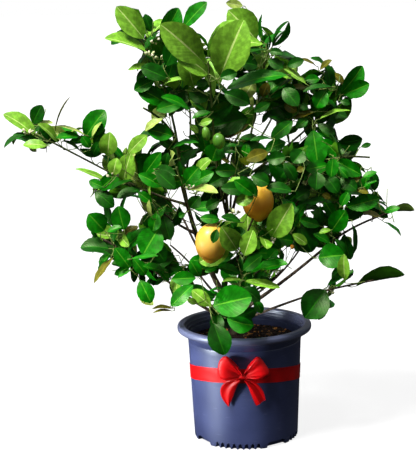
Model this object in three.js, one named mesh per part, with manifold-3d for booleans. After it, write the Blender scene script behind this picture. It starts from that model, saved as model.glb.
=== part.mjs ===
// A young Meyer lemon tree in a nursery pot, with a red ribbon and bow round the pot.
// Millimetres, +Z up. The origin is the centre of the flat underside of the pot, and the bow faces -Y.
// The plant is a short trunk, boughs that fork from it, and on each bough a mass of twigs, leaves and fruit.
import * as THREE from 'three';
import { mergeVertices } from 'three/addons/utils/BufferGeometryUtils.js';
import Module from 'manifold-3d';

const wasm = await Module();
wasm.setup();

// Clearance between neighbouring solids
const GAP = 0.3;

// Pot
const POT_HEIGHT = 240;
const POT_LIP_RADIUS = 140;
const POT_LIP_DEPTH = 13;
const POT_LIP_RING = 15;
const POT_NECK_RADIUS = 127;
const POT_NECK_HEIGHT = 214;
const POT_SHOULDER_RADIUS = 118;
const POT_SHOULDER_HEIGHT = 200;
const POT_BASE_RADIUS = 109;
const POT_WALL = 3;
const POT_SEGMENTS = 32;
const LIP_ROUNDING = 3;
const INNER_STEPS = 2;
const INNER_STEP_DEPTH = 1.6;
const INNER_STEP_SLOPE = 0.8;
const NOTCH_COUNT = 4;
const NOTCH_WIDTH = 38;
const NOTCH_HEIGHT = 12;
const NOTCH_CORNER = 7;
const NOTCH_SLANT = 3;
const NOTCH_DEPTH = 12;
const NOTCH_TURN = 36;

// Potting mix
const SOIL_TOP = 210;
const SOIL_EDGE = 205;
const SOIL_CROWN_RADIUS = 60;

// Ribbon and bow
const RIBBON_WIDTH = 30;
const RIBBON_THICK = 1.2;
const RIBBON_HEIGHT = 136;
const RIBBON_TILT = 10.3;
const KNOT_CENTRE = [-5, -125, 160];
const KNOT_SIZE = [20, 15, 15];
const LOOP = { tuck: 0.75, reach: 44, rise: 17, depth: 9, widths: [11, 54], lean: 0.3, steps: 10 };
const TAIL_START = 4.6;
const TAIL_TUCK = 0.75;
const TAIL_WIDTHS = [8, 30];
const TAIL_SET_BACK = 12;
const TAIL_STEPS = 4;
const TAILS = {
  left: { side: -1, out: -38, drop: 46, slant: [0.55, 0.15] },
  right: { side: 1, out: 36, drop: 54, slant: [0.5, 0.4] },
};

// Growth
const GOLDEN_ANGLE = THREE.MathUtils.degToRad(137.5);
const TWIGS_A_MASS = 6;
const BUDS_A_TWIG = 9;
const LEAVES_A_TWIG = 4;
const TWIG_RADIUS = [1.6, 1.4];
const STEM_TIP_RADIUS = 2.3;
const LEAF_THICK = 1.6;
const ROOT_THICK = 0.9;
const LEAF_FOLD = 0.2;
const LEAF_SLIM = 0.52;
const LEAF_RIM = [[0.46, -1], [1, 0], [0.46, 1]];
const SPACE_MARGIN = 0.03;
const LEADING_REACH = 1.7;
const LIMB_SIDES = 5;
const LIMB_STEPS = 4;
const STEM_SIDES = 4;
const TWIG_SIDES = 3;
const LEMON_RADIUS = 31;
const LEMON_LENGTH = 37;
const GREEN_LEMON_RADIUS = 12;

// The trunk, from its flat cut on the potting mix to its fork
const TRUNK = {
  foot: [-18, 25, SOIL_TOP + GAP],
  tip: [-44, 14, 300],
  bend: [-4, 0, 4],
  radii: [10.5, 8.5],
  flare: 5.5,
};

// Each bough forks from its parent at a share of the parent's length and ends where its leaves begin.
// bend moves the middle of the bough's curve, to is the tip of the mass's stem, reach is how far it spreads.
const BOUGHS = [
  { name: 'left_leader', parent: 'trunk', at: 1, bend: [-28, -10, -14], radii: [7.6, 4],
    tip: [-128, 0, 600], to: [-190, -85, 700], reach: 103, leaves: 18, leafLength: 78, seed: 28 },
  { name: 'centre_leader', parent: 'trunk', at: 0.94, bend: [16, 0, -10], radii: [7, 3.6],
    tip: [-33, -30, 530], to: [0, -118, 650], reach: 106, leaves: 19, leafLength: 76, seed: 64 },
  { name: 'right_leader', parent: 'trunk', at: 0.6, bend: [32, 16, -30], radii: [6, 3.6],
    tip: [84, -4, 492], to: [112, -118, 585], reach: 98, leaves: 17, leafLength: 76, seed: 2 },
  { name: 'right_arm', parent: 'trunk', at: 0.36, bend: [0, 0, -12], radii: [5.5, 3.2],
    tip: [178, -30, 411], to: [318, -20, 476], reach: 91, leaves: 20, leafLength: 72, seed: 23 },
  { name: 'low_right', parent: 'trunk', at: 0.2, bend: [0, 0, 4], radii: [4.2, 2.6],
    tip: [128, -48, 305], to: [262, -75, 342], reach: 80, leaves: 12, leafLength: 78, seed: 30 },
  { name: 'low_left', parent: 'trunk', at: 0.3, bend: [0, 0, -16], radii: [5, 3],
    tip: [-155, -22, 335], to: [-285, -45, 432], reach: 95, leaves: 19, leafLength: 76, seed: 28 },
  { name: 'foot', parent: 'trunk', at: 0.5, bend: [0, 0, 4], radii: [3.6, 2.6],
    tip: [-52, -58, 284], to: [-72, -160, 325], reach: 89, leaves: 17, leafLength: 76, seed: 22 },
  { name: 'top_left', parent: 'left_leader', at: 0.86, bend: [8, 0, 0], radii: [3.7, 2.6],
    tip: [-146, -45, 722], to: [-190, -75, 830], reach: 87, leaves: 18, leafLength: 92, seed: 26 },
  { name: 'top_centre', parent: 'centre_leader', at: 0.72, bend: [-10, 0, 4], radii: [3.6, 2.6],
    tip: [-54, -75, 660], to: [-60, -112, 790], reach: 103, leaves: 16, leafLength: 96, seed: 95 },
  { name: 'top_right', parent: 'centre_leader', at: 0.66, bend: [4, 8, 0], radii: [4.2, 2.6],
    tip: [30, 8, 672], to: [58, 6, 808], reach: 94, leaves: 17, leafLength: 84, seed: 42 },
  { name: 'right_top', parent: 'top_right', at: 0.42, bend: [0, 0, -8], radii: [3.6, 2.6],
    tip: [122, 20, 629], to: [214, 28, 715], reach: 89, leaves: 20, leafLength: 76, seed: 35 },
  { name: 'right_mid', parent: 'right_leader', at: 0.72, bend: [6, 0, -14], radii: [3.7, 2.6],
    tip: [140, -25, 552], to: [258, -48, 588], reach: 98, leaves: 19, leafLength: 74, seed: 88 },
  { name: 'centre_low', parent: 'centre_leader', at: 0.22, bend: [4, -4, -10], radii: [4, 2.8],
    tip: [-14, -92, 385], to: [32, -160, 515], reach: 103, leaves: 19, leafLength: 74, seed: 106 },
  { name: 'low_centre', parent: 'right_leader', at: 0.16, bend: [0, 0, -6], radii: [3.6, 2.6],
    tip: [42, -48, 330], to: [78, -130, 380], reach: 76, leaves: 13, leafLength: 72, seed: 52 },
  { name: 'centre_left', parent: 'left_leader', at: 0.35, bend: [0, 0, -8], radii: [3.8, 2.6],
    tip: [-105, -70, 478], to: [-125, -145, 590], reach: 89, leaves: 17, leafLength: 72, seed: 82 },
  { name: 'left_mid', parent: 'left_leader', at: 0.46, bend: [0, 0, -8], radii: [3.8, 2.6],
    tip: [-162, -25, 480], to: [-248, -70, 565], reach: 91, leaves: 20, leafLength: 76, seed: 102 },
  { name: 'left_arm', parent: 'left_leader', at: 0.66, bend: [0, 0, -10], radii: [3.7, 2.4],
    tip: [-246, -18, 552], to: [-418, -18, 648], reach: 80, leaves: 16, leafLength: 74, seed: 26 },
  { name: 'back_left', parent: 'left_leader', at: 0.28, bend: [0, 0, -12], radii: [4, 2.8],
    tip: [-118, 88, 430], to: [-210, 175, 515], reach: 106, leaves: 16, leafLength: 82, seed: 94 },
  { name: 'back_right', parent: 'right_leader', at: 0.4, bend: [0, 0, -12], radii: [4, 2.8],
    tip: [106, 92, 440], to: [195, 175, 520], reach: 106, leaves: 16, leafLength: 82, seed: 106 },
  { name: 'back_centre', parent: 'centre_leader', at: 0.48, bend: [0, 0, -12], radii: [4, 2.8],
    tip: [-22, 95, 510], to: [-10, 190, 605], reach: 106, leaves: 16, leafLength: 82, seed: 43 },
  { name: 'back_top_left', parent: 'left_leader', at: 0.8, bend: [8, 0, -10], radii: [3.6, 2.6],
    tip: [-104, 66, 655], to: [-125, 150, 755], reach: 91, leaves: 17, leafLength: 80, seed: 74 },
  { name: 'back_top_right', parent: 'top_right', at: 0.62, bend: [0, 0, -8], radii: [3.4, 2.5],
    tip: [62, 88, 650], to: [96, 160, 735], reach: 91, leaves: 17, leafLength: 80, seed: 19 },
  { name: 'back_low_left', parent: 'trunk', at: 0.74, bend: [0, 0, -8], radii: [3.8, 2.6],
    tip: [-92, 86, 322], to: [-160, 180, 372], reach: 94, leaves: 16, leafLength: 78, seed: 55 },
  { name: 'back_low_right', parent: 'trunk', at: 0.5, bend: [0, 0, -8], radii: [3.8, 2.6],
    tip: [62, 92, 306], to: [130, 185, 362], reach: 94, leaves: 16, leafLength: 78, seed: 4 },
];

// The largest leaves of each mass, seen in the crown's outline: base, tip, width, turn about the midrib
const LEADING_LEAVES = {
  top_left: [
    { base: [-180, -75, 828], tip: [-236, -85, 898], width: 42, turn: 0 },
    { base: [-171, -85, 803], tip: [-260, -100, 838], width: 44, turn: 50 },
    { base: [-159, -65, 825], tip: [-117, -50, 892], width: 38, turn: 30 },
  ],
  top_centre: [
    { base: [-55, -120, 762], tip: [-123, -165, 811], width: 54, turn: 20 },
    { base: [-57, -110, 767], tip: [-151, -95, 861], width: 62, turn: -10 },
    { base: [-40, -120, 754], tip: [11, -140, 868], width: 70, turn: 0 },
  ],
  top_right: [
    { base: [41, 0, 818], tip: [-20, -10, 885], width: 54, turn: 0 },
    { base: [63, 10, 804], tip: [102, 15, 859], width: 30, turn: 75 },
  ],
  right_top: [
    { base: [200, 20, 705], tip: [251, 30, 766], width: 36, turn: 30 },
    { base: [204, 15, 708], tip: [263, 10, 731], width: 32, turn: 20 },
  ],
  right_mid: [
    { base: [142, -80, 644], tip: [147, -105, 580], width: 42, turn: 0 },
    { base: [188, -50, 619], tip: [242, -60, 627], width: 34, turn: 40 },
  ],
  right_arm: [
    { base: [294, -20, 471], tip: [352, -15, 473], width: 30, turn: 70 },
    { base: [152, -50, 385], tip: [203, -75, 401], width: 44, turn: 0 },
  ],
  low_right: [
    { base: [169, -85, 333], tip: [121, -110, 275], width: 54, turn: 0 },
    { base: [219, -75, 329], tip: [325, -75, 352], width: 48, turn: 55 },
  ],
  centre_low: [
    { base: [53, -150, 443], tip: [96, -185, 521], width: 46, turn: 0 },
    { base: [-8, -170, 424], tip: [-40, -205, 482], width: 38, turn: 0 },
  ],
  left_mid: [
    { base: [-239, -70, 546], tip: [-218, -80, 611], width: 36, turn: 0 },
  ],
  left_arm: [
    { base: [-409, -20, 636], tip: [-480, -15, 688], width: 38, turn: 40 },
    { base: [-317, -20, 642], tip: [-272, -30, 693], width: 40, turn: 0 },
  ],
  low_left: [
    { base: [-277, -40, 443], tip: [-311, -50, 485], width: 40, turn: 0 },
    { base: [-264, -50, 412], tip: [-331, -45, 415], width: 34, turn: 30 },
  ],
  foot: [
    { base: [20, -150, 327], tip: [-62, -155, 317], width: 50, turn: 0 },
    { base: [-63, -150, 286], tip: [-39, -166, 218], width: 42, turn: 0 },
    { base: [-42, -110, 280], tip: [19, -125, 266], width: 36, turn: 40 },
  ],
};

// Fruit by the mass that carries it
const FRUITS = [
  { mass: 'centre_low', centre: [-61, -165, 443], radius: LEMON_RADIUS, length: LEMON_LENGTH, ripe: true },
  { mass: 'centre_low', centre: [31, -142, 519], radius: LEMON_RADIUS, length: LEMON_LENGTH, ripe: true },
  { mass: 'centre_leader', centre: [-42, -150, 639], radius: GREEN_LEMON_RADIUS, length: 15, ripe: false },
];

// Materials
const finish = (color, roughness) => new THREE.MeshStandardMaterial({ color, roughness, metalness: 0 });
const FINISHES = {
  pot: finish(0x4a5578, 0.5),
  soil: finish(0x3a2618, 0.95),
  ribbon: finish(0xc8101a, 0.4),
  bark: finish(0x5b4a34, 0.85),
  leaves: finish(0x2f7a24, 0.45),
};

const vector = ([x, y, z]) => new THREE.Vector3(x, y, z);
const UP = vector([0, 0, 1]);

// Random numbers that are the same each run
function seededRandom(seed) {
  const multiplier = 48271;
  const modulus = 2147483647;
  let state = (seed * 7919 + 101) % modulus;
  return () => {
    state = (state * multiplier) % modulus;
    return state / modulus;
  };
}

// Curves of trunk, boughs, stems and twigs
function bentCurve(start, end, bend) {
  const middle = start.clone().lerp(end, 0.5).add(bend);
  return new THREE.QuadraticBezierCurve3(start, middle, end);
}

function heading(curve, share) {
  const first = curve.v1.clone().sub(curve.v0).multiplyScalar(1 - share);
  const last = curve.v2.clone().sub(curve.v1).multiplyScalar(share);
  return first.add(last).normalize();
}

function limbRadius(limb, share) {
  const straight = THREE.MathUtils.lerp(limb.radii[0], limb.radii[1], share);
  return straight + (limb.flare ?? 0) * Math.exp(-share * 9);
}

function samplesOf(curve, count) {
  return Array.from({ length: count + 1 }, (_, i) => curve.getPoint(i / count));
}

// Trunk and boughs as curves, by name, each from its parent
function growLimbs() {
  const trunk = { ...TRUNK, curve: bentCurve(vector(TRUNK.foot), vector(TRUNK.tip), vector(TRUNK.bend)) };
  const limbs = new Map([['trunk', trunk]]);
  for (const bough of BOUGHS) {
    const start = limbs.get(bough.parent).curve.getPoint(bough.at);
    const curve = bentCurve(start, vector(bough.tip), vector(bough.bend));
    limbs.set(bough.name, { ...bough, curve });
  }
  return limbs;
}

// A mass's stem goes on from its bough's tip, past the gap
function stemOf(limb) {
  const along = heading(limb.curve, 1);
  const start = vector(limb.tip).addScaledVector(along, GAP);
  const end = vector(limb.to);
  const bendLength = start.distanceTo(end) * 0.4;
  return new THREE.QuadraticBezierCurve3(start, start.clone().addScaledVector(along, bendLength), end);
}

// Distance from a mass's stem as a share of its reach: a point belongs to the mass where this is least
function shareOfReach(point, stem) {
  let nearest = Infinity;
  for (const sample of stem.samples) nearest = Math.min(nearest, sample.distanceToSquared(point));
  return Math.sqrt(nearest) / stem.reach;
}

function keepsToSpace(points, own, stems, farthest = 1) {
  return points.every((point) => {
    const mine = shareOfReach(point, own);
    if (mine > farthest) return false;
    return stems.every((stem) => stem === own || shareOfReach(point, stem) > mine + SPACE_MARGIN);
  });
}

function clearOfPot(points) {
  const room = 8;
  return points.every((point) => {
    const outside = Math.hypot(point.x, point.y) > POT_LIP_RADIUS + room;
    return outside || point.z > POT_HEIGHT + room;
  });
}

// Part of a segment that lies inside a box, in the box's own axes
function segmentMeetsBox(from, to, low, high) {
  let enter = 0;
  let leave = 1;
  for (const axis of ['x', 'y', 'z']) {
    const step = to[axis] - from[axis];
    if (Math.abs(step) < 1e-9) {
      if (from[axis] < low[axis] || from[axis] > high[axis]) return false;
      continue;
    }
    const first = (low[axis] - from[axis]) / step;
    const second = (high[axis] - from[axis]) / step;
    enter = Math.max(enter, Math.min(first, second));
    leave = Math.min(leave, Math.max(first, second));
  }
  return enter <= leave;
}

function leafFrame(leaf) {
  const along = leaf.tip.clone().sub(leaf.base);
  const length = along.length();
  along.divideScalar(length);
  const across = along.clone().cross(leaf.normal).normalize();
  const normal = across.clone().cross(along);
  return { along, across, normal, length };
}

function leafClearOfLimbs(leaf, limbs) {
  const { along, across, normal, length } = leafFrame(leaf);
  const local = (point) => {
    const offset = point.clone().sub(leaf.base);
    return vector([offset.dot(along), offset.dot(across), offset.dot(normal)]);
  };
  for (const limb of limbs.values()) {
    const room = limb.radii[0] + (limb.flare ?? 0) * 0.5 + 1.5;
    const low = vector([-room, -leaf.width / 2 - room, -room]);
    const high = vector([length + room, leaf.width / 2 + room, room + leaf.width * LEAF_FOLD / 2]);
    const points = limb.samples.map(local);
    for (let i = 1; i < points.length; i += 1) {
      if (segmentMeetsBox(points[i - 1], points[i], low, high)) return false;
    }
  }
  return true;
}

function distanceToSegment(point, from, to) {
  const step = to.clone().sub(from);
  const share = THREE.MathUtils.clamp(point.clone().sub(from).dot(step) / step.lengthSq(), 0, 1);
  return from.clone().addScaledVector(step, share).distanceTo(point);
}

function twigClearOfLimbs(points, limbs) {
  for (const limb of limbs.values()) {
    const room = limb.radii[0] + TWIG_RADIUS[0] + 2;
    for (let i = 1; i < limb.samples.length; i += 1) {
      for (const point of points) {
        if (distanceToSegment(point, limb.samples[i - 1], limb.samples[i]) < room) return false;
      }
    }
  }
  return true;
}

// Points of a leaf's outline and midrib, for the tests
function leafPoints(leaf) {
  const { along, across, length } = leafFrame(leaf);
  const at = (share, side) => leaf.base.clone()
    .addScaledVector(along, length * share).addScaledVector(across, leaf.width * side / 2);
  return [at(0.25, 0), at(0.5, 0), at(0.75, 0), at(1.02, 0),
    at(0.2, 0.8), at(0.2, -0.8), at(0.45, 1), at(0.45, -1), at(0.7, 0.85), at(0.7, -0.85)];
}

// A point of a leaf at a share of its length, a share of its half width, and a rise; the sides are folded up
function leafPoint(leaf, share, side, rise = 0) {
  const { along, across, normal, length } = leafFrame(leaf);
  return leaf.base.clone().addScaledVector(along, length * share)
    .addScaledVector(across, side * leaf.width / 2)
    .addScaledVector(normal, rise + Math.abs(side) * leaf.width * LEAF_FOLD / 2);
}

// The leaf as four triangles that fan out from its root
function leafFan(leaf) {
  const rim = LEAF_RIM.map(([share, side]) => leafPoint(leaf, share, side * 1.06));
  const root = leafPoint(leaf, 0.05, 0);
  return { root, rim, triangles: rim.slice(1).map((corner, i) => [root, rim[i], corner]) };
}

function segmentCrosses(from, to, [a, b, c]) {
  const step = to.clone().sub(from);
  const first = b.clone().sub(a);
  const second = c.clone().sub(a);
  const sideways = step.clone().cross(second);
  const turn = first.dot(sideways);
  if (Math.abs(turn) < 1e-9) return false;
  const offset = from.clone().sub(a);
  const u = offset.dot(sideways) / turn;
  if (u < 0 || u > 1) return false;
  const lifted = offset.clone().cross(first);
  const v = step.dot(lifted) / turn;
  if (v < 0 || u + v > 1) return false;
  const share = second.dot(lifted) / turn;
  return share >= 0 && share <= 1;
}

function outlineCrosses(one, other) {
  const rim = [one.root, ...one.rim, one.root];
  const lines = rim.slice(1).map((point, i) => [rim[i], point]);
  lines.push([one.root, one.rim[1]]);
  return lines.some(([from, to]) => other.triangles.some((triangle) => segmentCrosses(from, to, triangle)));
}

function leavesCross(one, other) {
  return outlineCrosses(one, other) || outlineCrosses(other, one);
}

function twigPierces(points, fan) {
  return points.slice(1).some(
    (point, i) => fan.triangles.some((triangle) => segmentCrosses(points[i], point, triangle)));
}

function leafClearOfFruit(leaf) {
  return FRUITS.every((fruit) => {
    const centre = vector(fruit.centre);
    return leafPoints(leaf).every((point) => point.distanceTo(centre) > fruit.length + 2);
  });
}

// A leaf faces the light: out from the middle of the crown and up
function facing(point, along, jitter) {
  const crownMiddle = vector([-40, 40, Math.min(point.z - 20, 600)]);
  const outward = point.clone().sub(crownMiddle).normalize();
  const light = outward.addScaledVector(UP, 0.35).add(jitter);
  return light.addScaledVector(along, -light.dot(along)).normalize();
}

function turnedNormal(along, turn) {
  const toFront = vector([0, -1, 0.35]);
  const normal = toFront.addScaledVector(along, -toFront.dot(along)).normalize();
  return normal.applyAxisAngle(along, THREE.MathUtils.degToRad(turn));
}

function leadingLeaf(row) {
  const base = vector(row.base);
  const tip = vector(row.tip);
  const along = tip.clone().sub(base).normalize();
  return { base, tip, width: row.width, normal: turnedNormal(along, row.turn) };
}

// The twig that carries a leading leaf starts at the nearest point of the stem
function twigTo(point, stem) {
  let nearest = stem.samples[0];
  for (const sample of stem.samples.slice(0, -1)) {
    if (sample.distanceToSquared(point) < nearest.distanceToSquared(point)) nearest = sample;
  }
  return bentCurve(nearest, point, vector([0, 0, -0.08 * nearest.distanceTo(point)]));
}

// Twigs branch from the stem by the golden angle; leaves alternate along each twig and one ends it
function growMass(limb, stem, stems, limbs) {
  const twigs = [];
  const leaves = [];
  const fans = [];
  const wood = [stem.samples];
  const accept = (leaf, fan) => {
    const points = leafPoints(leaf);
    return keepsToSpace(points, stem, stems) && clearOfPot(points)
      && leafClearOfLimbs(leaf, limbs) && leafClearOfFruit(leaf)
      && !fans.some((other) => leavesCross(fan, other)) && !wood.some((line) => twigPierces(line, fan));
  };
  for (const row of LEADING_LEAVES[limb.name] ?? []) {
    const leaf = leadingLeaf(row);
    const curve = twigTo(leaf.base, stem);
    if (!leafClearOfLimbs(leaf, limbs)) continue;
    if (!keepsToSpace(leafPoints(leaf), stem, stems, LEADING_REACH)) continue;
    twigs.push(curve);
    leaves.push(leaf);
    fans.push(leafFan(leaf));
    wood.push(samplesOf(curve, 2));
  }
  for (let i = 0; i < TWIGS_A_MASS; i += 1) {
    const random = seededRandom(limb.seed * 64 + i);
    const share = 0.04 + 0.93 * (i + 1) / TWIGS_A_MASS;
    const start = stem.curve.getPoint(share);
    const along = heading(stem.curve, share);
    const side = along.clone().cross(UP).normalize();
    side.applyAxisAngle(along, limb.seed * 2.4 + i * GOLDEN_ANGLE);
    const isTip = i === TWIGS_A_MASS - 1;
    const direction = along.clone().multiplyScalar(isTip ? 1 : 0.5)
      .addScaledVector(side, isTip ? 0.2 : 0.85).addScaledVector(UP, 0.15).normalize();
    const length = stem.reach * (0.72 - 0.4 * share) * (0.75 + 0.4 * random());
    let curve = null;
    for (const shorter of [1, 0.75, 0.55, 0.35]) {
      const end = start.clone().addScaledVector(direction, length * shorter);
      const tried = bentCurve(start, end, vector([0, 0, -0.06 * length * shorter]));
      const points = [0.35, 0.6, 0.8, 1].map((t) => tried.getPoint(t));
      if (keepsToSpace(points, stem, stems) && twigClearOfLimbs(points, limbs) && clearOfPot(points)) {
        curve = tried;
        break;
      }
    }
    if (!curve || fans.some((fan) => twigPierces(samplesOf(curve, 2), fan))) continue;
    const before = leaves.length;
    for (let k = 0; k < BUDS_A_TWIG; k += 1) {
      const last = k === 0;
      const where = last ? 0.97 : 1 - 0.1 * k;
      const base = curve.getPoint(where);
      const twigAlong = heading(curve, where);
      const turn = twigAlong.clone().cross(UP).normalize();
      turn.applyAxisAngle(twigAlong, k * GOLDEN_ANGLE + random() * 1.2);
      const leafAlong = twigAlong.multiplyScalar(last ? 1 : 0.45)
        .addScaledVector(turn, last ? 0.25 : 0.9).addScaledVector(UP, 0.35 - 0.7 * random()).normalize();
      const jitter = vector([random() - 0.5, random() - 0.5, random() - 0.5]).multiplyScalar(0.9);
      const size = limb.leafLength * (0.75 + 0.42 * random());
      const tip = base.clone().addScaledVector(leafAlong, size);
      const normal = facing(tip, leafAlong, jitter);
      const leaf = { base, tip, width: size * LEAF_SLIM, normal };
      const fan = leafFan(leaf);
      const enough = leaves.length >= limb.leaves || leaves.length - before >= LEAVES_A_TWIG;
      if (enough || !accept(leaf, fan)) continue;
      leaves.push(leaf);
      fans.push(fan);
    }
    if (leaves.length === before) continue;
    twigs.push(curve);
    wood.push(samplesOf(curve, 2));
  }
  return { twigs, leaves };
}

function growCrown() {
  const limbs = growLimbs();
  for (const limb of limbs.values()) limb.samples = samplesOf(limb.curve, 8);
  const stems = BOUGHS.map((bough) => {
    const curve = stemOf(limbs.get(bough.name));
    return { name: bough.name, curve, reach: bough.reach, samples: samplesOf(curve, 6) };
  });
  const masses = stems.map((stem) => ({ stem, ...growMass(limbs.get(stem.name), stem, stems, limbs) }));
  return { limbs, masses };
}

// Solids
function toSolid(geometry) {
  const bare = geometry.clone();
  bare.deleteAttribute('normal');
  bare.deleteAttribute('uv');
  const merged = mergeVertices(bare, 1e-5);
  const corners = merged.index.array;
  const kept = [];
  for (let i = 0; i < corners.length; i += 3) {
    const [a, b, c] = [corners[i], corners[i + 1], corners[i + 2]];
    if (a !== b && b !== c && c !== a) kept.push(a, b, c);
  }
  const vertProperties = merged.attributes.position.array;
  return new wasm.Manifold(new wasm.Mesh({ numProp: 3, vertProperties, triVerts: new Uint32Array(kept) }));
}

function toGeometry(solid) {
  const mesh = solid.getMesh();
  const geometry = new THREE.BufferGeometry();
  geometry.setAttribute('position', new THREE.BufferAttribute(mesh.vertProperties, 3));
  geometry.setIndex(new THREE.BufferAttribute(mesh.triVerts, 1));
  geometry.computeVertexNormals();
  return geometry;
}

function join(solids) {
  let left = solids;
  while (left.length > 1) {
    const joined = [];
    for (let i = 0; i < left.length; i += 2) {
      joined.push(i + 1 < left.length ? left[i].add(left[i + 1]) : left[i]);
    }
    left = joined;
  }
  return left[0];
}

// The main body of a solid, without loose scraps and sealed hollows
function mainBody(solid) {
  return solid.decompose().reduce((best, piece) => (piece.volume() > best.volume() ? piece : best));
}

function meshFrom(corners, faces) {
  const geometry = new THREE.BufferGeometry();
  const places = new Float32Array(corners.flatMap((corner) => corner.toArray()));
  geometry.setAttribute('position', new THREE.BufferAttribute(places, 3));
  geometry.setIndex(faces.flat());
  return geometry;
}

// A tube along a curve, with a radius for each share of its length and flat ends
function taperedTube(curve, radiusAt, sides, steps, past = 0) {
  const corners = [];
  const faces = [];
  let side = heading(curve, 0).cross(vector([0.31, 0.87, 0.38])).normalize();
  for (let i = 0; i <= steps; i += 1) {
    const share = i / steps;
    const along = heading(curve, share);
    const centre = curve.getPoint(share);
    if (i === 0) centre.addScaledVector(along, -past);
    if (i === steps) centre.addScaledVector(along, past);
    side = side.clone().addScaledVector(along, -side.dot(along)).normalize();
    const other = along.clone().cross(side);
    for (let k = 0; k < sides; k += 1) {
      const angle = (k / sides) * 2 * Math.PI;
      const radius = radiusAt(share);
      corners.push(centre.clone()
        .addScaledVector(side, radius * Math.cos(angle)).addScaledVector(other, radius * Math.sin(angle)));
      if (i < steps) {
        const next = (k + 1) % sides;
        const [a, b, c, d] = [i * sides + k, i * sides + next, (i + 1) * sides + next, (i + 1) * sides + k];
        faces.push([a, b, c], [a, c, d]);
      }
    }
  }
  for (let k = 1; k < sides - 1; k += 1) {
    faces.push([0, k + 1, k], [steps * sides, steps * sides + k, steps * sides + k + 1]);
  }
  return meshFrom(corners, faces);
}

// A leaf as a folded blade: a thick root, a corner on each side, a point, and a ridge underneath
function leafBlade(leaf) {
  const corners = [
    leafPoint(leaf, 0, 0, ROOT_THICK / 2), leafPoint(leaf, 0, 0, -ROOT_THICK / 2),
    ...LEAF_RIM.map(([share, side]) => leafPoint(leaf, share, side)),
    leafPoint(leaf, 0.5, 0, -LEAF_THICK / 2),
  ];
  const top = [[0, 4, 2], [4, 3, 2]];
  const bottom = [[1, 2, 5], [2, 3, 5], [3, 4, 5], [4, 1, 5]];
  return meshFrom(corners, [...top, ...bottom, [0, 2, 1], [0, 1, 4]]);
}

// A lemon: a ball drawn out to a neck and a nipple
function lemonShape(fruit) {
  const geometry = new THREE.IcosahedronGeometry(1, fruit.ripe ? 1 : 0);
  const place = geometry.attributes.position;
  for (let i = 0; i < place.count; i += 1) {
    const z = place.getZ(i);
    const draw = 1 + 0.12 * Math.max(0, Math.abs(z) - 0.8) / 0.2;
    place.setXYZ(i, place.getX(i) * fruit.radius, place.getY(i) * fruit.radius, z * fruit.length * draw);
  }
  return geometry.translate(...fruit.centre);
}

function massSolid(mass) {
  const limb = mass.stem;
  const width = BOUGHS.find((bough) => bough.name === limb.name).radii[1];
  const stemRadius = (share) => THREE.MathUtils.lerp(width, STEM_TIP_RADIUS, share);
  const twigRadius = (share) => THREE.MathUtils.lerp(TWIG_RADIUS[0], TWIG_RADIUS[1], share);
  const pieces = [toSolid(taperedTube(limb.curve, stemRadius, STEM_SIDES, LIMB_STEPS))];
  for (const twig of mass.twigs) pieces.push(toSolid(taperedTube(twig, twigRadius, TWIG_SIDES, 1)));
  for (const fruit of FRUITS.filter((one) => one.mass === limb.name)) {
    const top = vector(fruit.centre).addScaledVector(UP, fruit.length * 0.9);
    pieces.push(toSolid(taperedTube(twigTo(top, limb), twigRadius, TWIG_SIDES, 2, 1)));
    pieces.push(toSolid(lemonShape(fruit)));
  }
  for (const leaf of mass.leaves) pieces.push(toSolid(leafBlade(leaf)));
  return mainBody(join(pieces));
}

// Boughs, each cut clear of the limbs made before it
function limbSolids(limbs) {
  const solids = new Map();
  const fatter = [];
  for (const [name, limb] of limbs) {
    const tube = (extra) => toSolid(
      taperedTube(limb.curve, (share) => limbRadius(limb, share) + extra, LIMB_SIDES, LIMB_STEPS, extra));
    let solid = tube(0);
    if (name === 'trunk') solid = solid.intersect(aboveTheMix());
    for (const other of fatter) solid = solid.subtract(other);
    solids.set(name, mainBody(solid));
    fatter.push(tube(GAP));
  }
  return solids;
}

function aboveTheMix() {
  const span = 400;
  const block = new THREE.BoxGeometry(span, span, span);
  return toSolid(block.translate(0, 0, TRUNK.foot[2] + span / 2));
}

// A turned shape from a profile of radius and height
function turned(profile) {
  const points = profile.map(([radius, height]) => new THREE.Vector2(radius, height));
  return toSolid(new THREE.LatheGeometry(points, POT_SEGMENTS).rotateX(Math.PI / 2));
}

function potWall(height) {
  return THREE.MathUtils.lerp(POT_BASE_RADIUS, POT_SHOULDER_RADIUS, height / POT_SHOULDER_HEIGHT);
}

function innerProfile(clearance) {
  const profile = [];
  const top = POT_HEIGHT - LIP_ROUNDING;
  const ringInner = POT_LIP_RADIUS - POT_LIP_RING;
  const stepHeight = (top - SOIL_EDGE) / (INNER_STEPS + 1);
  profile.push([ringInner - clearance, top]);
  for (let i = 1; i <= INNER_STEPS; i += 1) {
    const outer = ringInner - (i - 1) * INNER_STEP_DEPTH - clearance;
    profile.push([outer, top - i * stepHeight + INNER_STEP_SLOPE]);
    profile.push([outer - INNER_STEP_DEPTH, top - i * stepHeight]);
  }
  profile.push([POT_SHOULDER_RADIUS - POT_WALL - clearance, POT_SHOULDER_HEIGHT - 2]);
  profile.push([POT_BASE_RADIUS - POT_WALL - clearance, POT_WALL + clearance]);
  return profile;
}

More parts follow.
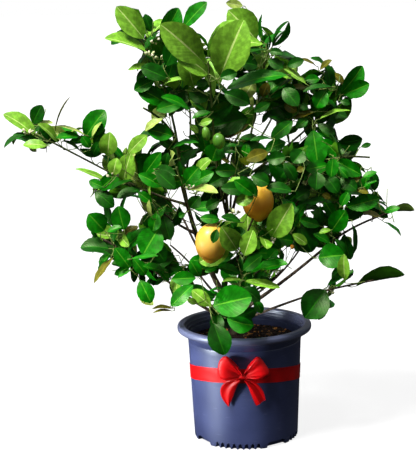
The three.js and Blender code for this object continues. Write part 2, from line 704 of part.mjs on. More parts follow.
function notch(index, grow) {
  const half = NOTCH_WIDTH / 2 + grow;
  const height = NOTCH_HEIGHT + grow;
  const shoulder = height - NOTCH_CORNER;
  const flat = half - NOTCH_SLANT - NOTCH_CORNER;
  const below = -5;
  const arch = new THREE.Shape();
  arch.moveTo(-half, below);
  arch.lineTo(half, below);
  arch.lineTo(half - NOTCH_SLANT, shoulder);
  arch.quadraticCurveTo(half - NOTCH_SLANT, height, flat, height);
  arch.lineTo(-flat, height);
  arch.quadraticCurveTo(-half + NOTCH_SLANT, height, -half + NOTCH_SLANT, shoulder);
  const depth = 3 * NOTCH_DEPTH;
  const cutter = new THREE.ExtrudeGeometry(arch, { depth, bevelEnabled: false, curveSegments: 3 });
  cutter.rotateX(Math.PI / 2);
  cutter.translate(0, -POT_BASE_RADIUS + NOTCH_DEPTH + grow, 0);
  const turn = THREE.MathUtils.degToRad(NOTCH_TURN) + (index / NOTCH_COUNT) * 2 * Math.PI;
  return toSolid(cutter.rotateZ(turn));
}

function potSolid() {
  const outer = [
    [0, 0], [POT_BASE_RADIUS, 0], [POT_SHOULDER_RADIUS, POT_SHOULDER_HEIGHT],
    [POT_NECK_RADIUS, POT_NECK_HEIGHT], [POT_NECK_RADIUS, POT_HEIGHT - POT_LIP_DEPTH - LIP_ROUNDING],
    [POT_LIP_RADIUS - LIP_ROUNDING, POT_HEIGHT - POT_LIP_DEPTH],
    [POT_LIP_RADIUS, POT_HEIGHT - POT_LIP_DEPTH / 2], [POT_LIP_RADIUS - LIP_ROUNDING, POT_HEIGHT],
    [POT_LIP_RADIUS - POT_LIP_RING + LIP_ROUNDING, POT_HEIGHT],
  ];
  let pot = turned([...outer, ...innerProfile(0), [0, POT_WALL]]);
  for (let i = 0; i < NOTCH_COUNT; i += 1) pot = pot.subtract(notch(i, 0));
  return pot;
}

function soilSolid() {
  const below = innerProfile(GAP).filter(([, height]) => height < SOIL_EDGE).reverse();
  const edge = [below.at(-1)[0] + 1, SOIL_EDGE];
  let soil = turned([[0, POT_WALL + GAP], ...below, edge, [SOIL_CROWN_RADIUS, SOIL_TOP], [0, SOIL_TOP]]);
  for (let i = 0; i < NOTCH_COUNT; i += 1) soil = soil.subtract(notch(i, GAP));
  return soil;
}

// Ribbon round the pot, its front higher than its back
function bandSolid() {
  const low = RIBBON_HEIGHT - 2 * RIBBON_WIDTH;
  const high = RIBBON_HEIGHT + 2 * RIBBON_WIDTH;
  const inner = (height) => potWall(height) + GAP;
  const ring = turned([
    [inner(low), low], [inner(low) + RIBBON_THICK, low],
    [inner(high) + RIBBON_THICK, high], [inner(high), high], [inner(low), low],
  ]);
  const slab = new THREE.BoxGeometry(3 * POT_LIP_RADIUS, 3 * POT_LIP_RADIUS, RIBBON_WIDTH);
  slab.rotateX(-THREE.MathUtils.degToRad(RIBBON_TILT)).translate(0, 0, RIBBON_HEIGHT);
  return ring.intersect(toSolid(slab));
}

// A strip of ribbon through stations of place, width and the way across
function ribbonStrip(stations) {
  const corners = [];
  const faces = [];
  const last = stations.length - 1;
  stations.forEach((station, i) => {
    const ahead = vector(stations[Math.min(i + 1, last)].at).sub(vector(stations[Math.max(i - 1, 0)].at));
    const across = vector(station.across).normalize();
    const out = ahead.cross(across).normalize();
    const corner = (side, rise) => vector(station.at)
      .addScaledVector(across, side * station.width / 2).addScaledVector(out, rise * RIBBON_THICK / 2);
    corners.push(corner(-1, -1), corner(1, -1), corner(1, 1), corner(-1, 1));
    if (i < last) {
      for (let k = 0; k < 4; k += 1) {
        const [a, b] = [i * 4 + k, i * 4 + (k + 1) % 4];
        faces.push([a, b, b + 4], [a, b + 4, a + 4]);
      }
    }
  });
  const end = last * 4;
  faces.push([0, 2, 1], [0, 3, 2], [end, end + 1, end + 2], [end, end + 2, end + 3]);
  const solid = toSolid(meshFrom(corners, faces));
  return solid.volume() > 0 ? solid : toSolid(meshFrom(corners, faces.map(([a, b, c]) => [a, c, b])));
}

// A loop of the bow: out along the front, round and back behind; side is -1 left, 1 right
function bowLoop(side) {
  const [knotX, knotY, knotZ] = KNOT_CENTRE;
  const root = knotX + side * (KNOT_SIZE[0] / 2 + GAP - LOOP.tuck);
  const stations = [];
  for (let i = 0; i <= LOOP.steps; i += 1) {
    const turn = (i / LOOP.steps) * Math.PI;
    const out = Math.sin(turn) ** 0.7;
    const depth = LOOP.depth * Math.min(1, 0.35 + out);
    stations.push({
      at: [root + side * LOOP.reach * out, knotY - depth * Math.cos(turn), knotZ + LOOP.rise * out],
      width: THREE.MathUtils.lerp(...LOOP.widths, out),
      across: [-side * LOOP.lean * out, 0, 1],
    });
  }
  return ribbonStrip(stations);
}

// A tail of the bow, from under the knot to its slanted end
function bowTail(tail) {
  const [knotX, knotY, knotZ] = KNOT_CENTRE;
  const top = knotZ - KNOT_SIZE[2] / 2 - GAP + TAIL_TUCK;
  const start = tail.side * TAIL_START;
  const stations = [];
  for (let i = 0; i <= TAIL_STEPS; i += 1) {
    const share = i / TAIL_STEPS;
    const x = knotX + start + (tail.out - start) * Math.sin(share * Math.PI / 2);
    stations.push({
      at: [x, knotY + TAIL_SET_BACK * share, top - tail.drop * share],
      width: THREE.MathUtils.lerp(...TAIL_WIDTHS, Math.sqrt(share)),
      across: [tail.side, 0.2 * share, THREE.MathUtils.lerp(...tail.slant, share)],
    });
  }
  return ribbonStrip(stations);
}

function knotSolid() {
  const knot = new THREE.SphereGeometry(0.5, 12, 8);
  return toSolid(knot.scale(...KNOT_SIZE).translate(...KNOT_CENTRE));
}

// The whole part
const lemonTree = new THREE.Group();

function place(name, solid, material) {
  const mesh = new THREE.Mesh(toGeometry(solid), material);
  mesh.name = name;
  lemonTree.add(mesh);
}

place('pot', potSolid(), FINISHES.pot);
place('potting_mix', soilSolid(), FINISHES.soil);
place('ribbon_band', bandSolid(), FINISHES.ribbon);
place('bow_knot', knotSolid(), FINISHES.ribbon);
place('bow_loop_left', bowLoop(-1), FINISHES.ribbon);
place('bow_loop_right', bowLoop(1), FINISHES.ribbon);
place('bow_tail_left', bowTail(TAILS.left), FINISHES.ribbon);
place('bow_tail_right', bowTail(TAILS.right), FINISHES.ribbon);

const crown = growCrown();
for (const [name, solid] of limbSolids(crown.limbs)) {
  place(name === 'trunk' ? name : `${name}_bough`, solid, FINISHES.bark);
}
for (const mass of crown.masses) place(`${mass.stem.name}_leaves`, massSolid(mass), FINISHES.leaves);

export default lemonTree;
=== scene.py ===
"""A young lemon tree in a nursery pot with a red ribbon and bow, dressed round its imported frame.

Growth and the pot are worked out in millimetres, as on the solids, and meshes are made in metres, +Z up.
The bow faces -Y. The solids' twigs and leaves come back here in their places, leaves read from the photo join
them, finer twigs go on from them all, and what would cover the sky of the photo is left out.
"""
import math
from dataclasses import dataclass, field

import bpy
import numpy as np
from mathutils import Matrix, Vector, noise
from mathutils.bvhtree import BVHTree


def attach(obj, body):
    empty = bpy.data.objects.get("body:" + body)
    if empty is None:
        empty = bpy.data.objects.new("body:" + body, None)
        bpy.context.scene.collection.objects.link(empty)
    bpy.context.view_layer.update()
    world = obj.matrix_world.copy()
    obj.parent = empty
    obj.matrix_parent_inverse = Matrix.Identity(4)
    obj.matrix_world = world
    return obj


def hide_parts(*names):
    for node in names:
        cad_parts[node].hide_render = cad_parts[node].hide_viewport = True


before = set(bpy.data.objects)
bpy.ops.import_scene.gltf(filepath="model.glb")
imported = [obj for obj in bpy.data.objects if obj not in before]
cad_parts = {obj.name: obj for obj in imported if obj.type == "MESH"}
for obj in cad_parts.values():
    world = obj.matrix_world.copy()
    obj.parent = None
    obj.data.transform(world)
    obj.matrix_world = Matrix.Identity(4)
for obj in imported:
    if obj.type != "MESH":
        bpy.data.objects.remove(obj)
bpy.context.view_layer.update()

MM = 0.001

# Growth, as on the solids
GOLDEN_ANGLE = math.radians(137.5)
GAP = 0.3
SPACE_MARGIN = 0.03
LEADING_REACH = 1.7
TWIGS_A_MASS = 6
BUDS_A_TWIG = 9
LEAVES_A_TWIG = 4
LIMB_ROOM = 3.6
POT_ROOM = 8
FRUIT_ROOM = 2
LEAF_SLIM = 0.52
LEAF_FOLD = 0.2
LEAF_RIM = ((0.46, -1), (1, 0), (0.46, 1))
SOIL_TOP = 210
POT_HEIGHT = 240
POT_LIP_RADIUS = 140

# Finer growth, which only this dressed model has
SIDE_TWIGS = 3
SIDE_TWIG_LENGTH = 46
SIDE_LEAVES = 4
STEM_SPURS = 6
SPUR_LENGTH = 44
FINE_LEAF_SIZE = 0.86
PETIOLE = 8
TWIG_RADII = (1.5, 1.0)
SIDE_TWIG_RADII = (1.0, 0.75)
STEM_TIP_RADIUS = 1.9

# The trunk: the middle of its foot and of its tip, the bend of its middle, its radii and its root flare
TRUNK = {
    "foot": (-18, 25, SOIL_TOP + GAP), "tip": (-44, 14, 300), "bend": (-4, 0, 4),
    "radii": (10.5, 8.5), "flare": 5.5,
}

# Each bough: its parent, the share of the parent's length where it forks, the bend of its middle, its radii,
# its tip, the tip of the stem that goes on through its leaves, how far those spread, how many leaves the
# solids have, their length, the seed, and the share of young leaves.
BOUGHS = {
    "left_leader": ("trunk", 1, (-28, -10, -14), (7.6, 4),
                    (-128, 0, 600), (-190, -85, 700), 103, 18, 78, 28, 0.35),
    "centre_leader": ("trunk", 0.94, (16, 0, -10), (7, 3.6),
                      (-33, -30, 530), (0, -118, 650), 106, 19, 76, 64, 0.4),
    "right_leader": ("trunk", 0.6, (32, 16, -30), (6, 3.6),
                     (84, -4, 492), (112, -118, 585), 98, 17, 76, 2, 0.2),
    "right_arm": ("trunk", 0.36, (0, 0, -12), (5.5, 3.2),
                  (178, -30, 411), (318, -20, 476), 91, 20, 72, 23, 0.3),
    "low_right": ("trunk", 0.2, (0, 0, 4), (4.2, 2.6),
                  (128, -48, 305), (262, -75, 342), 80, 12, 78, 30, 0.1),
    "low_left": ("trunk", 0.3, (0, 0, -16), (5, 3),
                 (-155, -22, 335), (-285, -45, 432), 95, 19, 76, 28, 0.3),
    "foot": ("trunk", 0.5, (0, 0, 4), (3.6, 2.6),
             (-52, -58, 284), (-72, -160, 325), 89, 17, 76, 22, 0.25),
    "top_left": ("left_leader", 0.86, (8, 0, 0), (3.7, 2.6),
                 (-146, -45, 722), (-190, -75, 830), 87, 18, 92, 26, 0.75),
    "top_centre": ("centre_leader", 0.72, (-10, 0, 4), (3.6, 2.6),
                   (-54, -75, 660), (-60, -112, 790), 103, 16, 96, 95, 0.8),
    "top_right": ("centre_leader", 0.66, (4, 8, 0), (4.2, 2.6),
                  (30, 8, 672), (58, 6, 808), 94, 17, 84, 42, 0.6),
    "right_top": ("top_right", 0.42, (0, 0, -8), (3.6, 2.6),
                  (122, 20, 629), (214, 28, 715), 89, 20, 76, 35, 0.25),
    "right_mid": ("right_leader", 0.72, (6, 0, -14), (3.7, 2.6),
                  (140, -25, 552), (258, -48, 588), 98, 19, 74, 88, 0.15),
    "centre_low": ("centre_leader", 0.22, (4, -4, -10), (4, 2.8),
                   (-14, -92, 385), (32, -160, 515), 103, 19, 74, 106, 0.6),
    "low_centre": ("right_leader", 0.16, (0, 0, -6), (3.6, 2.6),
                   (42, -48, 330), (78, -130, 380), 76, 13, 72, 52, 0.2),
    "centre_left": ("left_leader", 0.35, (0, 0, -8), (3.8, 2.6),
                    (-105, -70, 478), (-125, -145, 590), 89, 17, 72, 82, 0.5),
    "left_mid": ("left_leader", 0.46, (0, 0, -8), (3.8, 2.6),
                 (-162, -25, 480), (-248, -70, 565), 91, 20, 76, 102, 0.45),
    "left_arm": ("left_leader", 0.66, (0, 0, -10), (3.7, 2.4),
                 (-246, -18, 552), (-418, -18, 648), 80, 16, 74, 26, 0.85),
    "back_left": ("left_leader", 0.28, (0, 0, -12), (4, 2.8),
                  (-118, 88, 430), (-210, 175, 515), 106, 16, 82, 94, 0.3),
    "back_right": ("right_leader", 0.4, (0, 0, -12), (4, 2.8),
                   (106, 92, 440), (195, 175, 520), 106, 16, 82, 106, 0.3),
    "back_centre": ("centre_leader", 0.48, (0, 0, -12), (4, 2.8),
                    (-22, 95, 510), (-10, 190, 605), 106, 16, 82, 43, 0.3),
    "back_top_left": ("left_leader", 0.8, (8, 0, -10), (3.6, 2.6),
                      (-104, 66, 655), (-125, 150, 755), 91, 17, 80, 74, 0.5),
    "back_top_right": ("top_right", 0.62, (0, 0, -8), (3.4, 2.5),
                       (62, 88, 650), (96, 160, 735), 91, 17, 80, 19, 0.5),
    "back_low_left": ("trunk", 0.74, (0, 0, -8), (3.8, 2.6),
                      (-92, 86, 322), (-160, 180, 372), 94, 16, 78, 55, 0.2),
    "back_low_right": ("trunk", 0.5, (0, 0, -8), (3.8, 2.6),
                       (62, 92, 306), (130, 185, 362), 94, 16, 78, 4, 0.2),
}

# The largest leaves of each mass, as on the solids: base, tip, width, turn about the midrib, tint
LEADING_LEAVES = {
    "top_left": [
        ((-180, -75, 828), (-236, -85, 898), 42, 0, "bright"),
        ((-171, -85, 803), (-260, -100, 838), 44, 50, "bright"),
        ((-159, -65, 825), (-117, -50, 892), 38, 30, "green"),
    ],
    "top_centre": [
        ((-55, -120, 762), (-123, -165, 811), 54, 20, "bright"),
        ((-57, -110, 767), (-151, -95, 861), 62, -10, "green"),
        ((-40, -120, 754), (11, -140, 868), 70, 0, "bright"),
    ],
    "top_right": [
        ((41, 0, 818), (-20, -10, 885), 54, 0, "bright"),
        ((63, 10, 804), (102, 15, 859), 30, 75, "green"),
    ],
    "right_top": [
        ((200, 20, 705), (251, 30, 766), 36, 30, "green"),
        ((204, 15, 708), (263, 10, 731), 32, 20, "green"),
    ],
    "right_mid": [
        ((142, -80, 644), (147, -105, 580), 42, 0, "deep"),
        ((188, -50, 619), (242, -60, 627), 34, 40, "deep"),
    ],
    "right_arm": [
        ((294, -20, 471), (352, -15, 473), 30, 70, "bright"),
        ((152, -50, 385), (203, -75, 401), 44, 0, "deep"),
    ],
    "low_right": [
        ((169, -85, 333), (121, -110, 275), 54, 0, "deep"),
        ((219, -75, 329), (325, -75, 352), 48, 66, "deep"),
    ],
    "centre_low": [
        ((53, -150, 443), (96, -185, 521), 46, 0, "bright"),
        ((-8, -170, 424), (-40, -205, 482), 38, 0, "bright"),
    ],
    "left_mid": [
        ((-239, -70, 546), (-218, -80, 611), 36, 0, "bright"),
    ],
    "left_arm": [
        ((-409, -20, 636), (-480, -15, 688), 38, 40, "bright"),
        ((-317, -20, 642), (-272, -30, 693), 40, 0, "green"),
    ],
    "low_left": [
        ((-277, -40, 443), (-311, -50, 485), 40, 0, "green"),
        ((-264, -50, 412), (-331, -45, 415), 34, 30, "deep"),
    ],
    "foot": [
        ((20, -150, 327), (-62, -155, 317), 50, 0, "deep"),
        ((-63, -150, 286), (-39, -166, 218), 42, 0, "deep"),
        ((-42, -110, 280), (19, -125, 266), 36, 40, "green"),
    ],
}

# The photo's camera: its place in millimetres, its turns in degrees, its focal length and picture in pixels
CAMERA_PLACE = (0, -2600, 919)
CAMERA_YAW = 1.56
CAMERA_PITCH = -10.28
CAMERA_ROLL = 1.39
FOCAL_PIXELS = 1280.2
PHOTO_SIZE = (416, 451)

# Leaves read from the photo, by tint: base x, base y, tip x, tip y and width in its pixels, and their layer:
# 3 in front of the lemons, 2 in front of its stem, 1 a little in front, 0 behind
SEEN_LEAVES = {
    "deep": [
        (240, 176, 257, 196, 12, 3), (286, 119, 266, 113, 8, 1), (262, 123, 272, 111, 6, 1),
        (318, 124, 335, 134, 9, 1), (261, 37, 262, 14, 3, 1), (272, 48, 289, 21, 4, 1),
        (273, 46, 286, 30, 3, 1), (268, 50, 268, 33, 2, 1), (268, 51, 283, 53, 7, 1),
        (268, 60, 283, 68, 10, 1), (151, 32, 145, 14, 10, 0), (166, 66, 180, 37, 18, 2),
        (167, 78, 141, 67, 16, 2), (250, 56, 243, 50, 8, 1), (258, 66, 240, 62, 14, 1),
        (268, 50, 229, 61, 6, 2), (220, 78, 237, 73, 11, 1), (208, 82, 196, 85, 8, 1),
        (287, 66, 304, 60, 10, 1), (326, 66, 310, 58, 6, 1), (330, 88, 326, 64, 10, 1),
        (283, 88, 298, 106, 15, 2), (332, 87, 303, 92, 6, 2), (330, 112, 347, 117, 10, 1),
        (340, 101, 350, 104, 6, 1), (300, 105, 308, 109, 7, 1), (33, 124, 42, 105, 14, 0),
        (25, 135, 4, 148, 7, 1), (39, 126, 44, 133, 5, 1), (54, 141, 44, 142, 7, 0),
        (80, 151, 62, 141, 4, 1), (92, 157, 99, 142, 9, 0), (172, 148, 159, 138, 9, 1),
        (165, 166, 168, 153, 9, 0), (208, 100, 189, 93, 14, 0), (248, 118, 208, 128, 26, 1),
        (224, 93, 250, 104, 16, 1), (200, 148, 180, 169, 9, 1), (272, 139, 250, 141, 5, 1),
        (303, 150, 293, 163, 16, 2), (286, 157, 267, 160, 13, 1), (284, 162, 296, 181, 11, 1),
        (361, 147, 371, 144, 5, 0), (317, 172, 316, 190, 16, 2), (325, 175, 338, 193, 14, 1),
        (340, 178, 357, 190, 12, 1), (292, 191, 266, 188, 11, 3), (142, 181, 150, 153, 14, 1),
        (156, 171, 175, 188, 14, 1), (95, 191, 114, 207, 15, 1), (141, 190, 117, 198, 10, 1),
        (173, 211, 150, 200, 12, 1), (97, 238, 91, 231, 4, 0), (200, 196, 190, 208, 12, 0),
        (248, 190, 221, 188, 13, 3), (252, 176, 269, 184, 14, 3), (217, 229, 213, 243, 8, 3),
        (241, 222, 221, 217, 8, 1), (333, 202, 302, 204, 8, 1), (299, 227, 312, 252, 22, 1),
        (386, 211, 372, 205, 6, 0), (384, 222, 401, 236, 4, 1), (111, 255, 86, 251, 4, 1),
        (175, 256, 140, 263, 19, 0), (183, 270, 168, 266, 7, 0), (184, 291, 208, 291, 12, 0),
        (243, 287, 260, 301, 13, 1), (327, 287, 354, 271, 7, 1), (335, 239, 346, 255, 8, 1),
        (352, 224, 351, 258, 5, 1), (146, 214, 150, 228, 10, 0), (163, 215, 170, 240, 14, 0),
        (220, 200, 206, 208, 10, 0), (237, 145, 226, 147, 4, 1), (236, 152, 225, 153, 4, 1),
        (186, 92, 176, 112, 14, 0), (240, 76, 262, 92, 14, 0), (310, 190, 296, 199, 12, 0),
        (150, 240, 165, 262, 16, 0), (262, 225, 282, 214, 14, 0),
    ],
    "green": [
        (107, 232, 122, 227, 6, 2), (131, 259, 158, 256, 5, 2), (168, 104, 137, 88, 17, 1),
        (184, 103, 156, 110, 13, 1), (183, 28, 207, 2, 15, 0), (155, 80, 134, 90, 13, 1),
        (287, 75, 226, 90, 15, 2), (326, 90, 316, 108, 15, 2), (320, 79, 305, 80, 9, 1),
        (173, 136, 147, 129, 16, 2), (190, 110, 161, 97, 10, 2), (211, 112, 192, 119, 7, 1),
        (212, 161, 218, 144, 19, 2), (171, 149, 199, 143, 7, 2), (270, 103, 254, 112, 9, 2),
        (286, 142, 265, 150, 12, 2), (245, 157, 247, 143, 8, 1), (293, 121, 271, 139, 13, 2),
        (308, 118, 296, 128, 9, 1), (313, 130, 318, 166, 21, 2), (328, 165, 306, 170, 13, 1),
        (333, 158, 331, 177, 12, 2), (335, 160, 362, 175, 13, 1), (340, 169, 348, 178, 6, 1),
        (308, 176, 300, 179, 6, 1), (362, 178, 377, 172, 6, 1), (364, 187, 377, 181, 5, 1),
        (341, 206, 348, 192, 9, 2), (80, 136, 56, 138, 9, 1), (85, 138, 105, 110, 21, 0),
        (90, 148, 82, 136, 9, 1), (138, 174, 162, 186, 12, 2), (144, 175, 161, 152, 13, 2),
        (103, 187, 89, 181, 9, 1), (152, 203, 138, 192, 9, 2), (124, 230, 118, 206, 18, 1),
        (150, 228, 127, 247, 12, 1), (159, 228, 143, 255, 25, 2), (157, 213, 153, 231, 12, 2),
        (166, 206, 156, 217, 7, 1), (185, 184, 199, 167, 16, 2), (189, 186, 214, 172, 13, 1),
        (237, 171, 215, 171, 13, 2), (254, 195, 234, 180, 12, 3), (220, 220, 200, 218, 9, 1),
        (294, 228, 307, 203, 9, 1), (320, 226, 300, 220, 10, 1), (331, 232, 346, 210, 18, 1),
        (294, 241, 273, 238, 13, 1), (330, 243, 313, 234, 8, 1), (318, 258, 345, 255, 23, 2),
        (268, 259, 277, 249, 10, 1), (250, 273, 288, 264, 10, 2), (347, 207, 380, 198, 15, 1),
        (384, 212, 400, 208, 7, 1), (130, 268, 115, 248, 15, 1), (131, 270, 118, 278, 5, 1),
        (133, 258, 146, 275, 11, 1), (165, 272, 143, 266, 8, 1), (155, 265, 169, 281, 8, 1),
        (140, 280, 151, 303, 16, 1), (171, 306, 193, 285, 14, 1), (196, 278, 172, 279, 13, 2),
        (200, 277, 190, 260, 11, 1), (213, 306, 252, 297, 29, 2), (240, 274, 217, 267, 10, 1),
        (218, 267, 205, 272, 6, 1), (243, 271, 262, 255, 12, 1), (255, 300, 262, 313, 9, 1),
        (185, 213, 179, 217, 6, 1),
    ],
    "bright": [
        (203, 62, 160, 24, 30, 1), (263, 44, 237, 43, 11, 1), (268, 52, 252, 60, 3, 2),
        (306, 84, 283, 68, 8, 2), (320, 119, 351, 111, 5, 2), (47, 146, 23, 145, 10, 2),
        (58, 143, 38, 124, 8, 1), (108, 156, 110, 132, 17, 1), (128, 154, 147, 135, 13, 1),
        (200, 124, 212, 120, 7, 2), (190, 124, 198, 133, 6, 1), (113, 176, 117, 158, 13, 2),
        (154, 66, 128, 70, 9, 1), (162, 86, 185, 79, 5, 2), (254, 197, 236, 203, 12, 3),
        (244, 256, 253, 230, 16, 2), (292, 234, 307, 244, 9, 2), (345, 280, 344, 254, 11, 2),
        (211, 306, 192, 290, 13, 2), (197, 303, 187, 300, 6, 1), (242, 280, 222, 282, 4, 2),
        (245, 281, 280, 288, 8, 2), (107, 181, 75, 169, 6, 1), (331, 230, 319, 233, 5, 2),
    ],
    "young": [
        (243, 6, 226, 3, 9, 0), (38, 124, 53, 123, 5, 0), (85, 135, 56, 126, 4, 1),
        (92, 137, 102, 122, 5, 0), (166, 108, 152, 120, 12, 0), (189, 190, 218, 193, 9, 2),
        (152, 217, 149, 200, 4, 2), (163, 119, 145, 131, 8, 1),
    ],
    "bronze": [
        (316, 66, 299, 59, 4, 1), (320, 70, 332, 60, 6, 1), (306, 87, 291, 88, 6, 1),
        (297, 112, 284, 104, 10, 1), (315, 112, 295, 118, 7, 1), (249, 124, 226, 138, 10, 1),
        (262, 97, 268, 83, 10, 1), (268, 152, 246, 160, 12, 2), (220, 158, 229, 163, 4, 1),
        (304, 168, 297, 171, 6, 1), (359, 175, 354, 183, 5, 1), (355, 189, 369, 193, 6, 1),
        (322, 194, 331, 198, 6, 1), (382, 218, 363, 213, 6, 1), (113, 258, 94, 283, 7, 1),
        (172, 308, 152, 309, 4, 1), (172, 311, 153, 313, 3, 1), (55, 131, 70, 97, 3, 1),
    ],
}
LAYER_LIFTS = (-0.1, 0.3, 0.62)
BEFORE_FRUIT = -188
SEEN_SLIM = 0.5
NARROW_SLIM = 0.33
OVERTURNED = -0.6
SEEN_ROUNDING = 1.12
SEEN_SHIFTS = (0, -12, 12, -24, 24, -38, 38, -54, 54, -70)

# Places inside the crown where the photo shows sky, as circles in its pixels: x, y, radius
OPEN_SKY = [
    (220, 85, 4), (207, 96, 4), (173, 124, 5), (190, 113, 5), (216, 137, 4), (241, 109, 5), (250, 117, 5),
    (262, 120, 5), (268, 129, 5), (259, 134, 5), (232, 142, 5), (232, 158, 5), (213, 165, 4), (238, 166, 3),
    (190, 150, 5), (184, 159, 4), (164, 167, 4), (179, 183, 3), (165, 188, 3), (114, 198, 5), (140, 206, 5),
    (136, 217, 5), (144, 224, 4), (167, 217, 3), (176, 230, 5), (174, 243, 4), (188, 196, 4), (200, 199, 3),
    (234, 208, 6), (228, 214, 4), (225, 202, 4), (243, 217, 3), (253, 222, 4), (257, 230, 3), (251, 169, 4),
    (296, 133, 4), (290, 138, 4), (302, 133, 3), (328, 148, 4), (302, 164, 4), (276, 178, 3), (313, 198, 4),
    (322, 198, 3), (315, 230, 4), (340, 206, 3), (318, 246, 4), (285, 254, 4), (300, 258, 9), (284, 272, 8),
    (268, 292, 8), (300, 280, 14), (322, 273, 8), (228, 276, 5), (237, 270, 3), (206, 276, 3), (198, 304, 4),
    (183, 307, 5), (174, 312, 4), (163, 295, 6), (151, 290, 4), (160, 302, 5), (95, 160, 4), (120, 144, 5),
    (350, 215, 7), (345, 232, 5), (216, 7, 8), (266, 24, 4), (280, 42, 6), (293, 52, 5), (344, 126, 9),
    (153, 142, 6), (62, 115, 7), (48, 117, 5), (86, 162, 5), (98, 169, 6), (96, 208, 5), (108, 272, 6),
    (122, 284, 8), (130, 292, 6), (392, 221, 5), (305, 70, 4), (292, 78, 3), (147, 150, 5), (163, 152, 4),
    (193, 158, 5), (196, 146, 4), (222, 162, 5), (227, 152, 4), (300, 68, 5), (310, 68, 5), (230, 67, 5),
    (246, 48, 4), (256, 47, 4), (139, 55, 6), (368, 211, 5), (104, 210, 4), (115, 264, 4), (146, 278, 5),
    (172, 276, 4), (185, 262, 4), (276, 280, 5), (310, 103, 3), (299, 170, 4), (257, 146, 4), (227, 86, 4),
    (199, 88, 4), (284, 88, 4), (170, 200, 5), (182, 222, 4), (196, 230, 4), (205, 226, 3), (312, 216, 4),
    (288, 196, 4), (262, 262, 4),
]
SKY_CLOSING = 8
SKY_OPENING = 7

# Leaves that fill the crown behind the seen ones
TWIG_BENDS = ((0, 0, -0.08), (-0.5, -0.1, 0), (0.5, -0.1, 0), (0, -0.2, 0.5), (0, -0.2, -0.5))
WOOD_TRIES = 14
SHORTEST_TWIG = 6
FILL_TRIES = 2600
BARE_ENOUGH = 200
FILL_LENGTH = (19, 33)
FILL_DEPTH = (-12, 62)
FILL_SLIM = 0.48
FILL_SEED = 11
BEHIND_TRIES = 70
BEHIND_LIMIT = 250

# Fruit: the mass that carries it, its centre, radius, half length, and whether it is ripe
FRUITS = [
    ("centre_low", (-61, -165, 443), 31, 37, True),
    ("centre_low", (31, -142, 519), 31, 37, True),
    ("centre_leader", (-42, -150, 639), 12, 15, False),
]

# Small fruit that only this dressed model has, like the fruit above, and its clusters of closed flower buds
SMALL_FRUITS = [
    ("top_centre", (-66, -150, 654), 8, 13, False),
    ("low_centre", (97, -130, 425), 4, 4.5, True),
]
BUD_PLACES = [
    (-163, -90, 822), (-154, -95, 793), (-173, -95, 800), (-428, -40, 647), (-253, -120, 569),
    (-100, -150, 545), (-12, -165, 497), (53, -150, 437), (175, -60, 310),
]
BUDS_A_CLUSTER = 5

# Which masses are joined into each piece of foliage
CROWN_PARTS = {
    "leaves_top": ("top_left", "top_centre", "top_right"),
    "leaves_left": ("left_leader", "left_mid", "left_arm", "low_left", "centre_left"),
    "leaves_centre": ("centre_leader", "centre_low", "low_centre", "foot"),
    "leaves_right": ("right_leader", "right_arm", "right_top", "right_mid", "low_right"),
    "leaves_back": ("back_left", "back_right", "back_centre", "back_top_left", "back_top_right",
                    "back_low_left", "back_low_right"),
}

UP = np.array((0.0, 0.0, 1.0))


def unit(vector):
    return vector / np.linalg.norm(vector)


def turned_about(vector, axis, angle):
    """The vector turned about a unit axis, right-handed."""
    cosine = math.cos(angle)
    return vector * cosine + np.cross(axis, vector) * math.sin(angle) + axis * (axis @ vector) * (1 - cosine)


def seeded_random(seed):
    """Random numbers between 0 and 1 that are the same each run, and the same as the solids'."""
    multiplier, modulus = 48271, 2147483647
    state = (seed * 7919 + 101) % modulus
    while True:
        state = state * multiplier % modulus
        yield state / modulus


@dataclass
class Curve:
    """A quadratic curve from start to end, drawn towards pull."""
    start: np.ndarray
    pull: np.ndarray
    end: np.ndarray

    def at(self, share):
        share = np.asarray(share, float)[..., None]
        return self.start * (1 - share) ** 2 + self.pull * 2 * share * (1 - share) + self.end * share ** 2

    def heading(self, share):
        return unit((self.pull - self.start) * (1 - share) + (self.end - self.pull) * share)

    def samples(self, count):
        return self.at(np.arange(count + 1) / count)

    def length(self):
        points = self.samples(16)
        return float(np.linalg.norm(np.diff(points, axis=0), axis=1).sum())


def bent_curve(start, end, bend):
    start, end = np.array(start, float), np.array(end, float)
    return Curve(start, (start + end) / 2 + np.array(bend, float), end)


@dataclass
class Limb:
    """The trunk or a bough."""
    name: str
    curve: Curve
    radii: tuple
    flare: float = 0.0


@dataclass
class Stem:
    """What goes on from a bough's tip through its mass of leaves."""
    name: str
    curve: Curve
    reach: float
    samples: np.ndarray


@dataclass
class Leaf:
    base: np.ndarray
    tip: np.ndarray
    width: float
    normal: np.ndarray
    tint: str = "green"
    carrier: Curve = None
    form: int = 0
    leading: bool = False

    def frame(self):
        """Unit vectors along, across and up from the blade, and its length."""
        along = self.tip - self.base
        length = float(np.linalg.norm(along))
        along = along / length
        across = unit(np.cross(along, self.normal))
        return along, across, np.cross(across, along), length

    def outline(self):
        """Points of its rim and midrib, for the tests."""
        along, across, _, length = self.frame()
        shares = np.array((0.25, 0.5, 0.75, 1.02, 0.2, 0.2, 0.45, 0.45, 0.7, 0.7))
        sides = np.array((0, 0, 0, 0, 0.8, -0.8, 1, -1, 0.85, -0.85))
        return self.base + along * (length * shares)[:, None] + across * (self.width / 2 * sides)[:, None]

    def fan(self):
        """Its rim as five lines, and its blade as two triangles that fan out from its root."""
        along, across, normal, length = self.frame()

        def point(share, side):
            rise = abs(side) * self.width * LEAF_FOLD / 2
            return self.base + along * length * share + across * side * self.width / 2 + normal * rise

        root = point(0.05, 0)
        rim = [point(share, side * 1.06) for share, side in LEAF_RIM]
        ring = [root, *rim, root]
        lines = [(ring[i], ring[i + 1]) for i in range(4)] + [(root, rim[1])]
        triangles = [(root, rim[i], rim[i + 1]) for i in range(2)]
        return np.array(lines), np.array(triangles)


